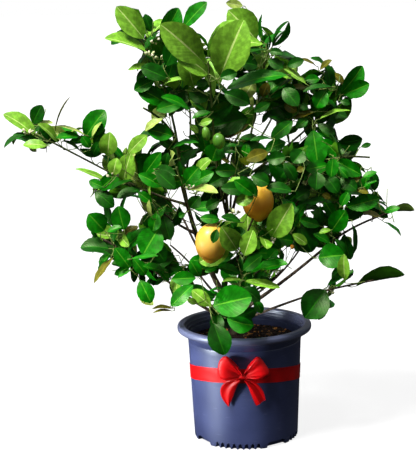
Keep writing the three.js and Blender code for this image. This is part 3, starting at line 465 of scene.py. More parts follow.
@dataclass
class Twig:
    curve: Curve
    radii: tuple


@dataclass
class Mass:
    """One bough's leaves and twigs, with the shapes that new ones have to miss."""
    stem: Stem
    twigs: list = field(default_factory=list)
    leaves: list = field(default_factory=list)
    lines: list = field(default_factory=list)
    triangles: list = field(default_factory=list)
    wood: list = field(default_factory=list)

    def add_leaf(self, leaf, fan):
        self.leaves.append(leaf)
        self.lines.append(fan[0])
        self.triangles.append(fan[1])

    def add_twig(self, curve, radii):
        self.twigs.append(Twig(curve, radii))
        self.wood.append(curve.samples(2))


def segments_cross(lines, triangles):
    """Whether any of the line segments passes through any of the triangles."""
    start = lines[:, None, 0]
    step = lines[:, None, 1] - start
    corner = triangles[None, :, 0]
    first = triangles[None, :, 1] - corner
    second = triangles[None, :, 2] - corner
    sideways = np.cross(step, second)
    turn = (first * sideways).sum(-1)
    flat = np.abs(turn) < 1e-9
    turn = np.where(flat, 1, turn)
    offset = start - corner
    u = (offset * sideways).sum(-1) / turn
    lifted = np.cross(offset, first)
    v = (step * lifted).sum(-1) / turn
    share = (second * lifted).sum(-1) / turn
    return bool((~flat & (u >= 0) & (u <= 1) & (v >= 0) & (u + v <= 1) & (share >= 0) & (share <= 1)).any())


class Crown:
    """The trunk, the boughs and their masses, grown by the rule of the solids and then more finely."""

    def __init__(self):
        self.limbs = {}
        trunk = bent_curve(TRUNK["foot"], TRUNK["tip"], TRUNK["bend"])
        self.limbs["trunk"] = Limb("trunk", trunk, TRUNK["radii"], TRUNK["flare"])
        for name, (parent, at, bend, radii, tip, *_) in BOUGHS.items():
            start = self.limbs[parent].curve.at(at)
            self.limbs[name] = Limb(name, bent_curve(start, tip, bend), radii)
        self.limb_steps = np.concatenate([
            np.stack((points[:-1], points[1:]), 1)
            for points in (limb.curve.samples(8) for limb in self.limbs.values())
        ])
        self.limb_radii = np.repeat([limb.radii[0] for limb in self.limbs.values()], 8)
        self.limb_flares = np.repeat([limb.flare for limb in self.limbs.values()], 8)
        self.blades = Blades()
        self.fruits = FRUITS
        self.stems = [self.stem_of(name) for name in BOUGHS]
        self.stem_samples = np.stack([stem.samples for stem in self.stems])
        self.stem_reach = np.array([stem.reach for stem in self.stems])
        self.masses = {stem.name: self.grow_mass(i, stem) for i, stem in enumerate(self.stems)}
        self.photo = PhotoView()
        self.fruits = FRUITS + SMALL_FRUITS
        self.place_seen_leaves()
        for mass in self.masses.values():
            self.thin(mass)
        self.fill_inside()
        for i, stem in enumerate(self.stems):
            self.fill_behind(i, self.masses[stem.name])
        for i, stem in enumerate(self.stems):
            self.grow_finer(i, self.masses[stem.name])

    def stem_of(self, name):
        limb = self.limbs[name]
        to, reach = BOUGHS[name][5:7]
        along = limb.curve.heading(1)
        start = limb.curve.end + along * GAP
        end = np.array(to, float)
        pull = start + along * float(np.linalg.norm(end - start)) * 0.4
        curve = Curve(start, pull, end)
        return Stem(name, curve, reach, curve.samples(6))

    def keeps_to_space(self, points, own, farthest=1.0):
        """Whether the points are nearer to their own stem, as a share of its reach, than to any other."""
        gaps = np.linalg.norm(points[:, None, None] - self.stem_samples, axis=-1).min(-1) / self.stem_reach
        mine = gaps[:, own]
        if (mine > farthest).any():
            return False
        others = np.delete(gaps, own, 1).min(1)
        return bool((others > mine + SPACE_MARGIN).all())

    def clear_of_pot(self, points):
        outside = np.hypot(points[:, 0], points[:, 1]) > POT_LIP_RADIUS + POT_ROOM
        return bool((outside | (points[:, 2] > POT_HEIGHT + POT_ROOM)).all())

    def clear_of_limbs(self, points):
        start = self.limb_steps[:, 0]
        step = self.limb_steps[:, 1] - start
        share = ((points[:, None] - start) * step).sum(-1) / (step * step).sum(-1)
        near = start + step * np.clip(share, 0, 1)[..., None]
        gap = np.linalg.norm(near - points[:, None], axis=-1)
        return bool((gap >= self.limb_radii + LIMB_ROOM).all())

    def leaf_clear_of_limbs(self, leaf):
        """Whether no limb passes through the box round the leaf."""
        along, across, normal, length = leaf.frame()
        local = (self.limb_steps - leaf.base) @ np.stack((along, across, normal), 1)
        room = self.limb_radii + self.limb_flares * 0.5 + 1.5
        low = np.stack((-room, -leaf.width / 2 - room, -room), 1)
        high = np.stack((length + room, leaf.width / 2 + room, room + leaf.width * LEAF_FOLD / 2), 1)
        start = local[:, 0]
        step = local[:, 1] - start
        step = np.where(np.abs(step) < 1e-9, 1e-9, step)
        first = (low - start) / step
        second = (high - start) / step
        enter = np.maximum(np.minimum(first, second).max(1), 0)
        leave = np.minimum(np.maximum(first, second).min(1), 1)
        return not bool((enter <= leave).any())

    def leaf_clear_of_fruit(self, leaf):
        points = leaf.outline()
        return all((np.linalg.norm(points - np.array(centre), axis=1) > half_length + FRUIT_ROOM).all()
                   for _, centre, _, half_length, _ in self.fruits)

    def stands_clear(self, leaf):
        """Whether the leaf misses the limbs, the fruit and the pot."""
        if not (self.leaf_clear_of_limbs(leaf) and self.leaf_clear_of_fruit(leaf)):
            return False
        return self.clear_of_pot(leaf.outline())

    def fits(self, leaf, fan, own, mass):
        """Whether a leaf of the solids' rule finds its place free."""
        if not (self.keeps_to_space(leaf.outline(), own) and self.stands_clear(leaf)):
            return False
        lines, triangles = fan
        if mass.leaves:
            others = np.concatenate(mass.triangles)
            if segments_cross(lines, others) or segments_cross(np.concatenate(mass.lines), triangles):
                return False
        return not any(segments_cross(np.stack((line[:-1], line[1:]), 1), triangles) for line in mass.wood)

    def pierces_leaf(self, curve, mass):
        if not mass.leaves:
            return False
        points = curve.samples(2)
        return segments_cross(np.stack((points[:-1], points[1:]), 1), np.concatenate(mass.triangles))

    def grow_mass(self, own, stem):
        """The solids' twigs and leaves: twigs branch by the golden angle, and leaves alternate on them."""
        *_, leaf_count, leaf_length, seed, youth = BOUGHS[stem.name]
        mass = Mass(stem)
        mass.wood.append(stem.samples)
        for base, tip, width, turn, tint in LEADING_LEAVES.get(stem.name, ()):
            leaf = leading_leaf(base, tip, width, turn, tint)
            curve = twig_to(leaf.base, stem)
            if not self.leaf_clear_of_limbs(leaf):
                continue
            if not self.keeps_to_space(leaf.outline(), own, LEADING_REACH):
                continue
            mass.add_leaf(leaf, leaf.fan())
            mass.add_twig(curve, TWIG_RADII)
            leaf.carrier = curve
            leaf.leading = True
        for i in range(TWIGS_A_MASS):
            random = seeded_random(seed * 64 + i)
            share = 0.04 + 0.93 * (i + 1) / TWIGS_A_MASS
            start = stem.curve.at(share)
            along = stem.curve.heading(share)
            side = turned_about(unit(np.cross(along, UP)), along, seed * 2.4 + i * GOLDEN_ANGLE)
            is_tip = i == TWIGS_A_MASS - 1
            direction = unit(along * (1 if is_tip else 0.5) + side * (0.2 if is_tip else 0.85) + UP * 0.15)
            length = stem.reach * (0.72 - 0.4 * share) * (0.75 + 0.4 * next(random))
            curve = self.room_for_twig(own, start, direction, length, (1, 0.75, 0.55, 0.35))
            if curve is None or self.pierces_leaf(curve, mass):
                continue
            before = len(mass.leaves)
            for k in range(BUDS_A_TWIG):
                leaf = bud_leaf(curve, k, random, leaf_length)
                fan = leaf.fan()
                if len(mass.leaves) >= leaf_count or len(mass.leaves) - before >= LEAVES_A_TWIG:
                    continue
                if self.fits(leaf, fan, own, mass):
                    leaf.tint = spray_tint(youth + (0.2 if is_tip or k == 0 else 0), seed * 31 + i * 7 + k)
                    mass.add_leaf(leaf, fan)
            if len(mass.leaves) > before:
                mass.add_twig(curve, TWIG_RADII)
        return mass

    def room_for_twig(self, own, start, direction, length, shares):
        """The longest of the tried twigs that keeps to its space and off the limbs and the pot, or None."""
        for shorter in shares:
            reach = length * shorter
            tried = bent_curve(start, start + direction * reach, (0, 0, -0.06 * reach))
            points = tried.at((0.35, 0.6, 0.8, 1))
            if self.keeps_to_space(points, own) and self.clear_of_limbs(points) and self.clear_of_pot(points):
                return tried
        return None

    def place_seen_leaves(self):
        """The solids' leading leaves and the leaves read from the photo, then the twigs of the latter."""
        for mass in self.masses.values():
            for leaf in mass.leaves:
                if leaf.leading:
                    leaf.width *= SEEN_ROUNDING
                    if leaf.normal @ UP < OVERTURNED:
                        leaf.normal = -leaf.normal
                    self.blades.settle(leaf)
                    self.photo.cover(leaf)
        for _, centre, radius, half_length, _ in self.fruits:
            self.photo.cover_fruit(np.array(centre, float), radius, half_length)
        placed = []
        for tint, rows in SEEN_LEAVES.items():
            for row in rows:
                found = self.seen_leaf(tint, *row)
                if found:
                    placed.append(found)
        placed.sort(key=lambda pair: np.linalg.norm(pair[1].stem.samples - pair[0].base, axis=1).min())
        for leaf, mass in placed:
            self.hang(leaf, mass, self.clear_twig(leaf.base, mass))

    def hang(self, leaf, mass, curve):
        """Gives a leaf to a mass, with the side twig that carries it."""
        leaf.carrier = curve
        mass.leaves.append(leaf)
        mass.add_twig(curve, SIDE_TWIG_RADII)
        self.blades.add_wood(curve)

    def hang_filler(self, leaf, mass):
        """Hangs a leaf that fills the crown if it spoils nothing, and says whether it did."""
        if not self.stands_clear(leaf) or self.photo.spoilt_by(leaf) or not self.blades.find_form(leaf):
            return False
        curve = self.clear_twig(leaf.base, mass)
        if self.blades.pierced_by(curve):
            return False
        self.blades.settle(leaf)
        self.hang(leaf, mass, curve)
        return True

    def seen_leaf(self, tint, base_x, base_y, tip_x, tip_y, seen_width, layer):
        """A leaf over its place in the photo, at the first depth where its way is free, and its mass."""
        stem, middle = self.stem_behind(base_x, base_y)
        lift = BEFORE_FRUIT if layer == 3 else middle[1] - LAYER_LIFTS[layer] * stem.reach
        length = math.hypot(tip_x - base_x, tip_y - base_y)
        random = seeded_random(int(base_x * 7 + tip_y * 13 + tip_x))
        seen_width *= SEEN_ROUNDING
        true_width = max(seen_width, (SEEN_SLIM if seen_width > 0.27 * length else NARROW_SLIM) * length)
        turn = math.degrees(math.acos(seen_width / true_width))
        lean = (0.12 - 0.5 * next(random)) * length * 2
        for shift in SEEN_SHIFTS:
            base = self.photo.at(base_x, base_y, lift + shift)
            tip = self.photo.at(tip_x, tip_y, lift + shift + lean)
            scale = self.photo.scale(base)
            base = base - unit(tip - base) * min(PETIOLE, 0.13 * length * scale)
            for form in range(3):
                leaf = leading_leaf(base, tip, true_width * scale, turn, tint)
                if leaf.normal @ UP < 0:
                    leaf = leading_leaf(base, tip, true_width * scale, -turn, tint)
                leaf.form = int(base_x * 31 + tip_y * 17 + form)
                if not (self.leaf_clear_of_limbs(leaf) and self.leaf_clear_of_fruit(leaf)):
                    continue
                if (layer < 2 and not self.clear_of_pot(leaf.outline())) or self.blades.crosses(leaf):
                    continue
                leaf.leading = True
                self.blades.settle(leaf)
                self.photo.cover(leaf)
                return leaf, self.masses[stem.name]
        return None

    def stem_behind(self, x, y):
        """The stem that passes nearest behind a pixel of the photo, and its point there."""
        best = None
        for stem in self.stems:
            if stem.name.startswith("back"):
                continue
            pixels = self.photo.pixels(stem.samples)[0]
            gaps = np.hypot(pixels[:, 0] - x, pixels[:, 1] - y) / stem.reach
            k = int(np.argmin(gaps))
            if best is None or gaps[k] < best[0]:
                best = (gaps[k], stem, stem.samples[k])
        return best[1:]

    def clear_twig(self, point, mass):
        """The shortest twig from the mass's wood to a point that passes through no blade, or the shortest."""
        wood = np.concatenate(mass.wood)
        gaps = np.linalg.norm(wood - point, axis=1)
        starts = np.argsort(gaps)[:WOOD_TRIES]
        for bend in TWIG_BENDS:
            for k in starts:
                curve = bent_curve(wood[k], point, np.array(bend) * gaps[k])
                if gaps[k] > SHORTEST_TWIG and not self.blades.pierced_by(curve):
                    return curve
        return bent_curve(wood[starts[0]], point, np.array(TWIG_BENDS[0]) * gaps[starts[0]])

    def thin(self, mass):
        """Drops the leaves of the rule that pass through others, cover seen leaves or cover the sky."""
        kept = []
        for leaf in mass.leaves:
            if not leaf.leading:
                if self.photo.spoilt_by(leaf) or not self.leaf_clear_of_fruit(leaf):
                    continue
                if not self.blades.find_form(leaf):
                    continue
                self.blades.settle(leaf)
            kept.append(leaf)
        mass.leaves = kept
        carriers = {id(leaf.carrier) for leaf in kept}
        mass.twigs = [twig for twig in mass.twigs if id(twig.curve) in carriers]
        for twig in mass.twigs:
            self.blades.add_wood(twig.curve)

    def fill_inside(self):
        """Leaves behind the seen ones, wherever the photo's crown shows no sky and nothing stands yet."""
        random = seeded_random(FILL_SEED)
        for mass in self.masses.values():
            for leaf in mass.leaves:
                self.photo.fill(leaf)
        for i in range(FILL_TRIES):
            rows, columns = self.photo.bare_places()
            if len(rows) < BARE_ENOUGH:
                break
            k = int(next(random) * len(rows))
            x, y = float(columns[k]), float(rows[k])
            stem, middle = self.stem_behind(x, y)
            stem_x, stem_y = self.photo.pixels(middle[None])[0][0]
            angle = math.atan2(y - stem_y, x - stem_x) + 2.2 * (next(random) - 0.5)
            length = FILL_LENGTH[0] + (FILL_LENGTH[1] - FILL_LENGTH[0]) * next(random)
            depth = middle[1] + FILL_DEPTH[0] + (FILL_DEPTH[1] - FILL_DEPTH[0]) * next(random)
            dx = math.cos(angle) * length / 2
            dy = math.sin(angle) * length / 2
            lean = (next(random) - 0.6) * length
            turn = 150 * (next(random) - 0.5)
            draw = next(random)
            base = self.photo.at(x - dx, y - dy, depth)
            tip = self.photo.at(x + dx, y + dy, depth + lean)
            tint = "deep" if draw < 0.62 else "green" if draw < 0.98 else "bronze"
            leaf = leading_leaf(base, tip, float(np.linalg.norm(tip - base)) * FILL_SLIM, turn, tint)
            leaf.form = i * 7 + 3
            if self.hang_filler(leaf, self.masses[stem.name]):
                self.photo.fill(leaf)

    def fill_behind(self, own, mass):
        """More leaves round the far side of a mass, where they cover neither sky nor a seen leaf."""
        stem = mass.stem
        *_, leaf_length, seed, youth = BOUGHS[stem.name]
        random = seeded_random(seed * 512 + 3)
        for i in range(BEHIND_TRIES):
            middle = stem.samples[1 + int(next(random) * (len(stem.samples) - 1))]
            turn, lift = 2 * math.pi * next(random), 1.6 * next(random) - 0.6
            outward = unit(np.array((math.cos(turn), 0.45 + math.sin(turn), lift)))
            base = middle + outward * stem.reach * (0.12 + 0.6 * next(random))
            length = leaf_length * (0.75 + 0.4 * next(random))
            jitter = np.array([next(random) - 0.5 for _ in range(3)])
            along = unit(outward + jitter * 1.2)
            leaf = Leaf(base, base + along * length, length * LEAF_SLIM, facing(base, along, jitter * 0.8))
            leaf.tint = spray_tint(youth, seed * 71 + i // 5)
            leaf.form = seed * 89 + i
            if self.keeps_behind(leaf, own):
                self.hang_filler(leaf, mass)

    def keeps_behind(self, leaf, own):
        """Whether a leaf keeps to its mass's space, and to the depth of the solids."""
        points = leaf.outline()
        return points[:, 1].max() <= BEHIND_LIMIT and self.keeps_to_space(points, own)

    def grow_finer(self, own, mass):
        """Side twigs on the twigs and spurs on the stem, with leaves of their own, in the same space."""
        stem = mass.stem
        *_, leaf_length, seed, youth = BOUGHS[stem.name]
        parents = [(twig.curve, 0.3 + 0.22 * j, SIDE_TWIG_LENGTH) for twig in list(mass.twigs)
                   for j in range(SIDE_TWIGS)]
        parents += [(stem.curve, 0.08 + 0.84 * j / STEM_SPURS, SPUR_LENGTH) for j in range(STEM_SPURS)]
        for i, (parent, share, length) in enumerate(parents):
            random = seeded_random(seed * 4096 + i + 1)
            start = parent.at(share)
            along = parent.heading(share)
            side = turned_about(unit(np.cross(along, UP)), along, 2 * math.pi * next(random))
            direction = unit(along * 0.55 + side * 0.8 + UP * 0.2)
            curve = self.room_for_twig(own, start, direction, length * (0.7 + 0.6 * next(random)), (1, 0.7))
            if curve is None or self.blades.pierced_by(curve):
                continue
            before = len(mass.leaves)
            for k in range(BUDS_A_TWIG):
                leaf = bud_leaf(curve, k, random, leaf_length * FINE_LEAF_SIZE)
                if len(mass.leaves) - before >= SIDE_LEAVES:
                    continue
                if not (self.keeps_behind(leaf, own) and self.stands_clear(leaf)):
                    continue
                leaf.form = seed * 97 + i * 13 + k
                if self.photo.spoilt_by(leaf) or not self.blades.find_form(leaf):
                    continue
                leaf.tint = spray_tint(youth, seed * 53 + i * 11 + k)
                self.blades.settle(leaf)
                mass.leaves.append(leaf)
            if len(mass.leaves) > before:
                mass.add_twig(curve, SIDE_TWIG_RADII)
                self.blades.add_wood(curve)


class Blades:
    """The curved blades and the thin wood placed so far, so that new ones pass through none of them."""

    def __init__(self):
        self.trees = []
        self.middles = []
        self.rooms = []
        self.wood = []

    def tree_of(self, leaf):
        points = blade_points(leaf, leaf.form)
        return BVHTree.FromPolygons([tuple(point) for point in points], BLADE_SURFACE)

    def settle(self, leaf):
        self.trees.append(self.tree_of(leaf))
        self.middles.append((leaf.base + leaf.tip) / 2)
        self.rooms.append(float(np.linalg.norm(leaf.tip - leaf.base)) * 0.58)

    def near(self, middle, room):
        if not self.middles:
            return []
        gaps = np.linalg.norm(np.array(self.middles) - middle, axis=1)
        return [self.trees[k] for k in np.nonzero(gaps < np.array(self.rooms) + room)[0]]

    def crosses(self, leaf):
        tree = self.tree_of(leaf)
        middle = (leaf.base + leaf.tip) / 2
        room = float(np.linalg.norm(leaf.tip - leaf.base)) * 0.58
        if any(tree.overlap(other) for other in self.near(middle, room)):
            return True
        if not self.wood:
            return False
        wood = np.array(self.wood)
        close = np.linalg.norm((wood[:, 0] + wood[:, 1]) / 2 - middle, axis=1) < room + 25
        return any(hit_by(tree, start, end) for start, end in wood[close])

    def find_form(self, leaf):
        """Whether one of three ways to curve the leaf passes through nothing; the leaf keeps the first."""
        for _ in range(3):
            if not self.crosses(leaf):
                return True
            leaf.form += 1009
        return False

    def pierced_by(self, curve):
        """Whether a twig passes through a blade or a fruit."""
        if in_fruit(curve.samples(10)):
            return True
        points = curve.samples(4)
        middle = curve.at(0.5)
        trees = self.near(middle, float(np.linalg.norm(points[0] - points[-1])) / 2 + 4)
        return any(hit_by(tree, start, end) for tree in trees for start, end in zip(points[:-1], points[1:]))

    def add_wood(self, curve):
        points = curve.samples(4)
        self.wood += [(start, end) for start, end in zip(points[:-1], points[1:])]


def in_fruit(points):
    """Whether any of the points lies in a fruit."""
    return any((np.linalg.norm((points - np.array(centre)) / (radius, radius, half_length), axis=1) < 1).any()
               for _, centre, radius, half_length, _ in FRUITS + SMALL_FRUITS)


def hit_by(tree, start, end):
    """Whether a straight piece of wood, a little short of both its ends, passes through a blade."""
    step = Vector(end - start)
    if step.length < 1:
        return False
    return tree.ray_cast(Vector(start) + step * 0.05, step.normalized(), step.length * 0.9)[0] is not None


class PhotoView:
    """What the photo's camera sees of the leaves that were read from it, pixel by pixel."""

    def __init__(self):
        yaw, pitch, roll = (math.radians(angle) for angle in (CAMERA_YAW, CAMERA_PITCH, CAMERA_ROLL))
        level = np.array((math.cos(yaw), math.sin(yaw), 0))
        ahead = np.array((-math.sin(yaw), math.cos(yaw), 0))
        self.forward = ahead * math.cos(pitch) + UP * math.sin(pitch)
        self.right = turned_about(level, self.forward, roll)
        self.up = np.cross(self.right, self.forward)
        self.place = np.array(CAMERA_PLACE, float)
        self.depths = np.full((PHOTO_SIZE[1], PHOTO_SIZE[0]), np.inf)
        self.filled = np.zeros((PHOTO_SIZE[1], PHOTO_SIZE[0]), bool)
        self.open_sky = None

    def pixels(self, points):
        """Pixels of points, and how far off they are."""
        offset = np.asarray(points, float) - self.place
        far = offset @ self.forward
        x = PHOTO_SIZE[0] / 2 + FOCAL_PIXELS * (offset @ self.right) / far
        y = PHOTO_SIZE[1] / 2 - FOCAL_PIXELS * (offset @ self.up) / far
        return np.stack((x, y), -1), far

    def at(self, x, y, depth):
        """The point behind a pixel where Y is the depth."""
        ray = (self.forward + self.right * (x - PHOTO_SIZE[0] / 2) / FOCAL_PIXELS
               - self.up * (y - PHOTO_SIZE[1] / 2) / FOCAL_PIXELS)
        return self.place + ray * ((depth - self.place[1]) / ray[1])

    def scale(self, point):
        """Millimetres a pixel at a point."""
        return float((point - self.place) @ self.forward) / FOCAL_PIXELS

    def cells(self, points):
        pixels, far = self.pixels(points)
        columns = np.clip(np.round(pixels[:, 0]).astype(int), 0, PHOTO_SIZE[0] - 1)
        rows = np.clip(np.round(pixels[:, 1]).astype(int), 0, PHOTO_SIZE[1] - 1)
        return rows, columns, far

    def cover(self, leaf):
        rows, columns, far = self.cells(blade_places(leaf))
        np.minimum.at(self.depths, (rows, columns), far)

    def fill(self, leaf):
        rows, columns, _ = self.cells(blade_places(leaf))
        self.filled[rows, columns] = True

    def cover_fruit(self, centre, radius, half_length):
        angles, sizes = np.meshgrid(np.linspace(0, 2 * math.pi, 60), np.linspace(0, 1, 20))
        places = (centre + self.right * (radius * sizes * np.cos(angles))[..., None]
                  + UP * (half_length * sizes * np.sin(angles))[..., None] - self.forward * radius)
        rows, columns, far = self.cells(places.reshape(-1, 3))
        np.minimum.at(self.depths, (rows, columns), far)
        self.filled[rows, columns] = True

    def find_sky(self):
        """The sky: outside the seen leaves once small gaps between them are closed, and the open places."""
        crown = grown(np.isfinite(self.depths), SKY_CLOSING)
        crown = ~grown(~crown, SKY_OPENING)
        ys, xs = np.mgrid[:PHOTO_SIZE[1], :PHOTO_SIZE[0]]
        for x, y, radius in OPEN_SKY:
            crown &= np.hypot(xs - x, ys - y) > radius
        self.open_sky = ~(crown | np.isfinite(self.depths))

    def bare_places(self):
        """Rows and columns of the crown's pixels where nothing stands yet."""
        if self.open_sky is None:
            self.find_sky()
        return np.nonzero(~self.open_sky & ~self.filled)

    def spoilt_by(self, leaf):
        """Whether a leaf would cover the photo's sky or stand before what was read from the photo."""
        if self.open_sky is None:
            self.find_sky()
        rows, columns, far = self.cells(leaf.outline())
        seen = self.depths[rows, columns]
        hidden = np.isfinite(seen) & (far < seen)
        return bool(self.open_sky[rows, columns].any() or hidden.sum() > 1)


def grown(mask, radius):
    """A mask made larger by a disc."""
    larger = mask.copy()
    for dy in range(-radius, radius + 1):
        half = int(math.sqrt(radius * radius - dy * dy))
        for dx in range(-half, half + 1):
            larger |= np.roll(mask, (dy, dx), (0, 1))
    return larger


def blade_places(leaf):
    """Points all over a leaf, for the pixels that it covers."""
    along, across, _, length = leaf.frame()
    shares, sides = np.meshgrid(np.linspace(0.05, 1, 50), np.linspace(-1, 1, 25))
    half = half_width(np.clip(shares, 0, 0.999)) * leaf.width / 2
    places = leaf.base + along * (length * shares)[..., None] + across * (half * sides)[..., None]
    return places.reshape(-1, 3)


def bud_leaf(curve, bud, random, leaf_length):
    """The leaf at one bud of a twig; the first ends the twig, and the rest alternate back along it."""
    last = bud == 0
    where = 0.97 if last else 1 - 0.1 * bud
    base = curve.at(where)
    along = curve.heading(where)
    turn = turned_about(unit(np.cross(along, UP)), along, bud * GOLDEN_ANGLE + next(random) * 1.2)
    leaf_along = unit(along * (1 if last else 0.45) + turn * (0.25 if last else 0.9)
                      + UP * (0.35 - 0.7 * next(random)))
    jitter = np.array([next(random) - 0.5, next(random) - 0.5, next(random) - 0.5]) * 0.9
    size = leaf_length * (0.75 + 0.42 * next(random))
    tip = base + leaf_along * size
    return Leaf(base, tip, size * LEAF_SLIM, facing(tip, leaf_along, jitter), carrier=curve)


def facing(point, along, jitter):
    """A leaf faces the light: out from the middle of the crown and up."""
    crown_middle = np.array((-40, 40, min(point[2] - 20, 600)))
    light = unit(point - crown_middle) + UP * 0.35 + jitter
    return unit(light - along * (light @ along))


def leading_leaf(base, tip, width, turn, tint):
    base, tip = np.array(base, float), np.array(tip, float)
    along = unit(tip - base)
    to_front = np.array((0, -1, 0.35))
    normal = turned_about(unit(to_front - along * (to_front @ along)), along, math.radians(turn))
    return Leaf(base, tip, width, normal, tint)


def twig_to(point, stem):
    """The twig that carries a leading leaf or a fruit, from the nearest point of the stem."""
    candidates = stem.samples[:-1]
    nearest = candidates[np.argmin(np.linalg.norm(candidates - point, axis=1))]
    return bent_curve(nearest, point, (0, 0, -0.08 * float(np.linalg.norm(nearest - point))))


def spray_tint(youth, seed):
    """The tint of a spray, by how young its mass is."""
    draws = seeded_random(seed + 977)
    age = 0.55 * next(draws) + 0.45 * next(draws)
    if age < youth * 0.45:
        return "young"
    if age < youth * 0.9:
        return "bright"
    if age < 0.35 + youth * 0.5:
        return "green"
    return "deep" if next(draws) > 0.01 else "bronze"


# Node trees


class Wire:
    """A number that varies over a surface, so that masks and heights are written as sums and products."""

    def __init__(self, wiring, socket):
        self.wiring = wiring
        self.socket = socket

    def math(self, operation, first, second=0.0):
        return self.wiring.node("ShaderNodeMath", {"operation": operation}, {0: first, 1: second})

    def __add__(self, other):
        return self.math("ADD", self, other)

    def __radd__(self, other):
        return self.math("ADD", other, self)

    def __sub__(self, other):
        return self.math("SUBTRACT", self, other)

    def __rsub__(self, other):
        return self.math("SUBTRACT", other, self)

    def __mul__(self, other):
        return self.math("MULTIPLY", self, other)

    def __rmul__(self, other):
        return self.math("MULTIPLY", other, self)

    def __truediv__(self, other):
        return self.math("DIVIDE", self, other)

    def __pow__(self, other):
        return self.math("POWER", self, other)

    def __abs__(self):
        return self.math("ABSOLUTE", self)

    def sine(self):
        return self.math("SINE", self)

    def floor(self):
        return self.math("FLOOR", self)

    def ramp(self, low, high):
        """0 below low, 1 above high, and smooth between."""
        inlets = {"Value": self, "From Min": low, "From Max": high}
        return self.wiring.node("ShaderNodeMapRange", {"interpolation_type": "SMOOTHSTEP"}, inlets)


class Wiring:
    """Builds a node tree; node() adds any node and gives one of its outlets as a Wire."""

    def __init__(self, tree):
        self.tree = tree

    def node(self, kind, settings=None, inlets=None, outlet=0):
        made = self.tree.nodes.new(kind)
        for key, value in (settings or {}).items():
            if key == "stops":
                set_stops(made.color_ramp, value)
            else:
                setattr(made, key, value)
        for key, value in (inlets or {}).items():
            self.feed(made.inputs[key], value)
        return Wire(self, made.outputs[outlet])

    def feed(self, socket, value):
        if isinstance(value, Wire):
            self.tree.links.new(value.socket, socket)
        else:
            socket.default_value = value


def set_stops(ramp, stops):
    while len(ramp.elements) < len(stops):
        ramp.elements.new(0.5)
    for element, (position, colour) in zip(ramp.elements, stops):
        element.position = position
        element.color = colour


def paint(red, green, blue):
    """A colour given as it is seen, 0 to 255, as the linear values that a shader takes."""
    linear = []
    for value in (red, green, blue):
        share = value / 255
        linear.append(share / 12.92 if share <= 0.04045 else ((share + 0.055) / 1.055) ** 2.4)
    return (*linear, 1.0)


class Finish(Wiring):
    """A material: constants go on the shader's own sockets, and shade() feeds what varies."""

    def __init__(self, name, **constants):
        self.material = bpy.data.materials.new(name)
        self.material.use_nodes = True
        super().__init__(self.material.node_tree)
        self.shader = self.tree.nodes["Principled BSDF"]
        self.place = self.node("ShaderNodeTexCoord", outlet="Object")
        self.shade(**constants)

    def shade(self, **values):
        """Sets or links the shader's sockets, each named by its label in lower case."""
        sockets = {socket.name.lower().replace(" ", "_"): socket for socket in self.shader.inputs}
        for key, value in values.items():
            self.feed(sockets[key], value)
        return self.material

    def stretched(self, scale):
        """Object coordinates, finer along the axes with the larger scale."""
        return self.node("ShaderNodeMapping", None, {"Vector": self.place, "Scale": scale})

    def noise(self, scale, detail=3.0, vector=None):
        inlets = {"Vector": vector or self.place, "Scale": scale, "Detail": detail}
        return self.node("ShaderNodeTexNoise", None, inlets, "Fac")

    def mix(self, share, low, high):
        """A colour between two, by a share."""
        inlets = {0: share, 6: low, 7: high}
        return self.node("ShaderNodeMix", {"data_type": "RGBA"}, inlets, 2)

    def mottled(self, pattern, start, stop, low, high):
        """A colour between two paints, as a pattern rises from start to stop."""
        return self.mix(pattern.ramp(start, stop), paint(*low), paint(*high))

    def bump(self, height, strength, distance):
        inlets = {"Strength": strength, "Distance": distance, "Height": height}
        return self.node("ShaderNodeBump", None, inlets)

    def height_above_floor(self):
        """Object Z in metres."""
        return self.node("ShaderNodeSeparateXYZ", None, {"Vector": self.place}, "Z")


# Finishes of the leaves

# Each tint's upper side, midrib and underside, as they are seen
TINTS = {
    "deep": dict(top=(2, 78, 2), rib=(40, 116, 20), under=(48, 104, 14)),
    "green": dict(top=(8, 120, 2), rib=(84, 162, 36), under=(80, 140, 24)),
    "bright": dict(top=(126, 184, 50), rib=(196, 222, 124), under=(156, 200, 82)),
    "young": dict(top=(172, 196, 90), rib=(206, 216, 146), under=(190, 206, 124)),
    "bronze": dict(top=(96, 92, 10), rib=(142, 136, 50), under=(124, 124, 36)),
}
WAXY_TINTS = ("deep", "green")
LEAF_SHINE = (0.7, 1.0, 0.38, 1.0)
SIDE_VEINS = 62
VEIN_SLANT = 46
VEIN_PALENESS = 0.07


def shifted(colour, factor):
    """A colour made lighter or darker by a factor."""
    return (*(min(1.0, channel * factor) for channel in colour[:3]), 1.0)


def blade_finish(name, colour, roughness, coat):
    """The upper side of a leaf: mottled green under a waxy gloss, with side veins sunk in it."""
    finish = Finish(name, coat_weight=coat, coat_roughness=0.3, specular_ior_level=0.36,
                    specular_tint=LEAF_SHINE)
    mottle = finish.noise(90, 4)
    colour = paint(*colour)
    place = {"Vector": finish.node("ShaderNodeUVMap")}
    across, along = (finish.node("ShaderNodeSeparateXYZ", None, place, axis) for axis in "XY")
    veins = ((along * SIDE_VEINS - abs(across - 0.5) * VEIN_SLANT).sine() * 0.5 + 0.5) ** 6
    blotches = finish.mix(mottle.ramp(0.35, 0.7), shifted(colour, 0.66), shifted(colour, 1.2))
    return finish.shade(
        base_color=finish.mix(veins * VEIN_PALENESS, blotches, shifted(colour, 1.9)),
        roughness=mottle * 0.16 + roughness,
        normal=finish.bump(mottle * 0.35 - veins * 0.6, 0.24, 0.001),
    )


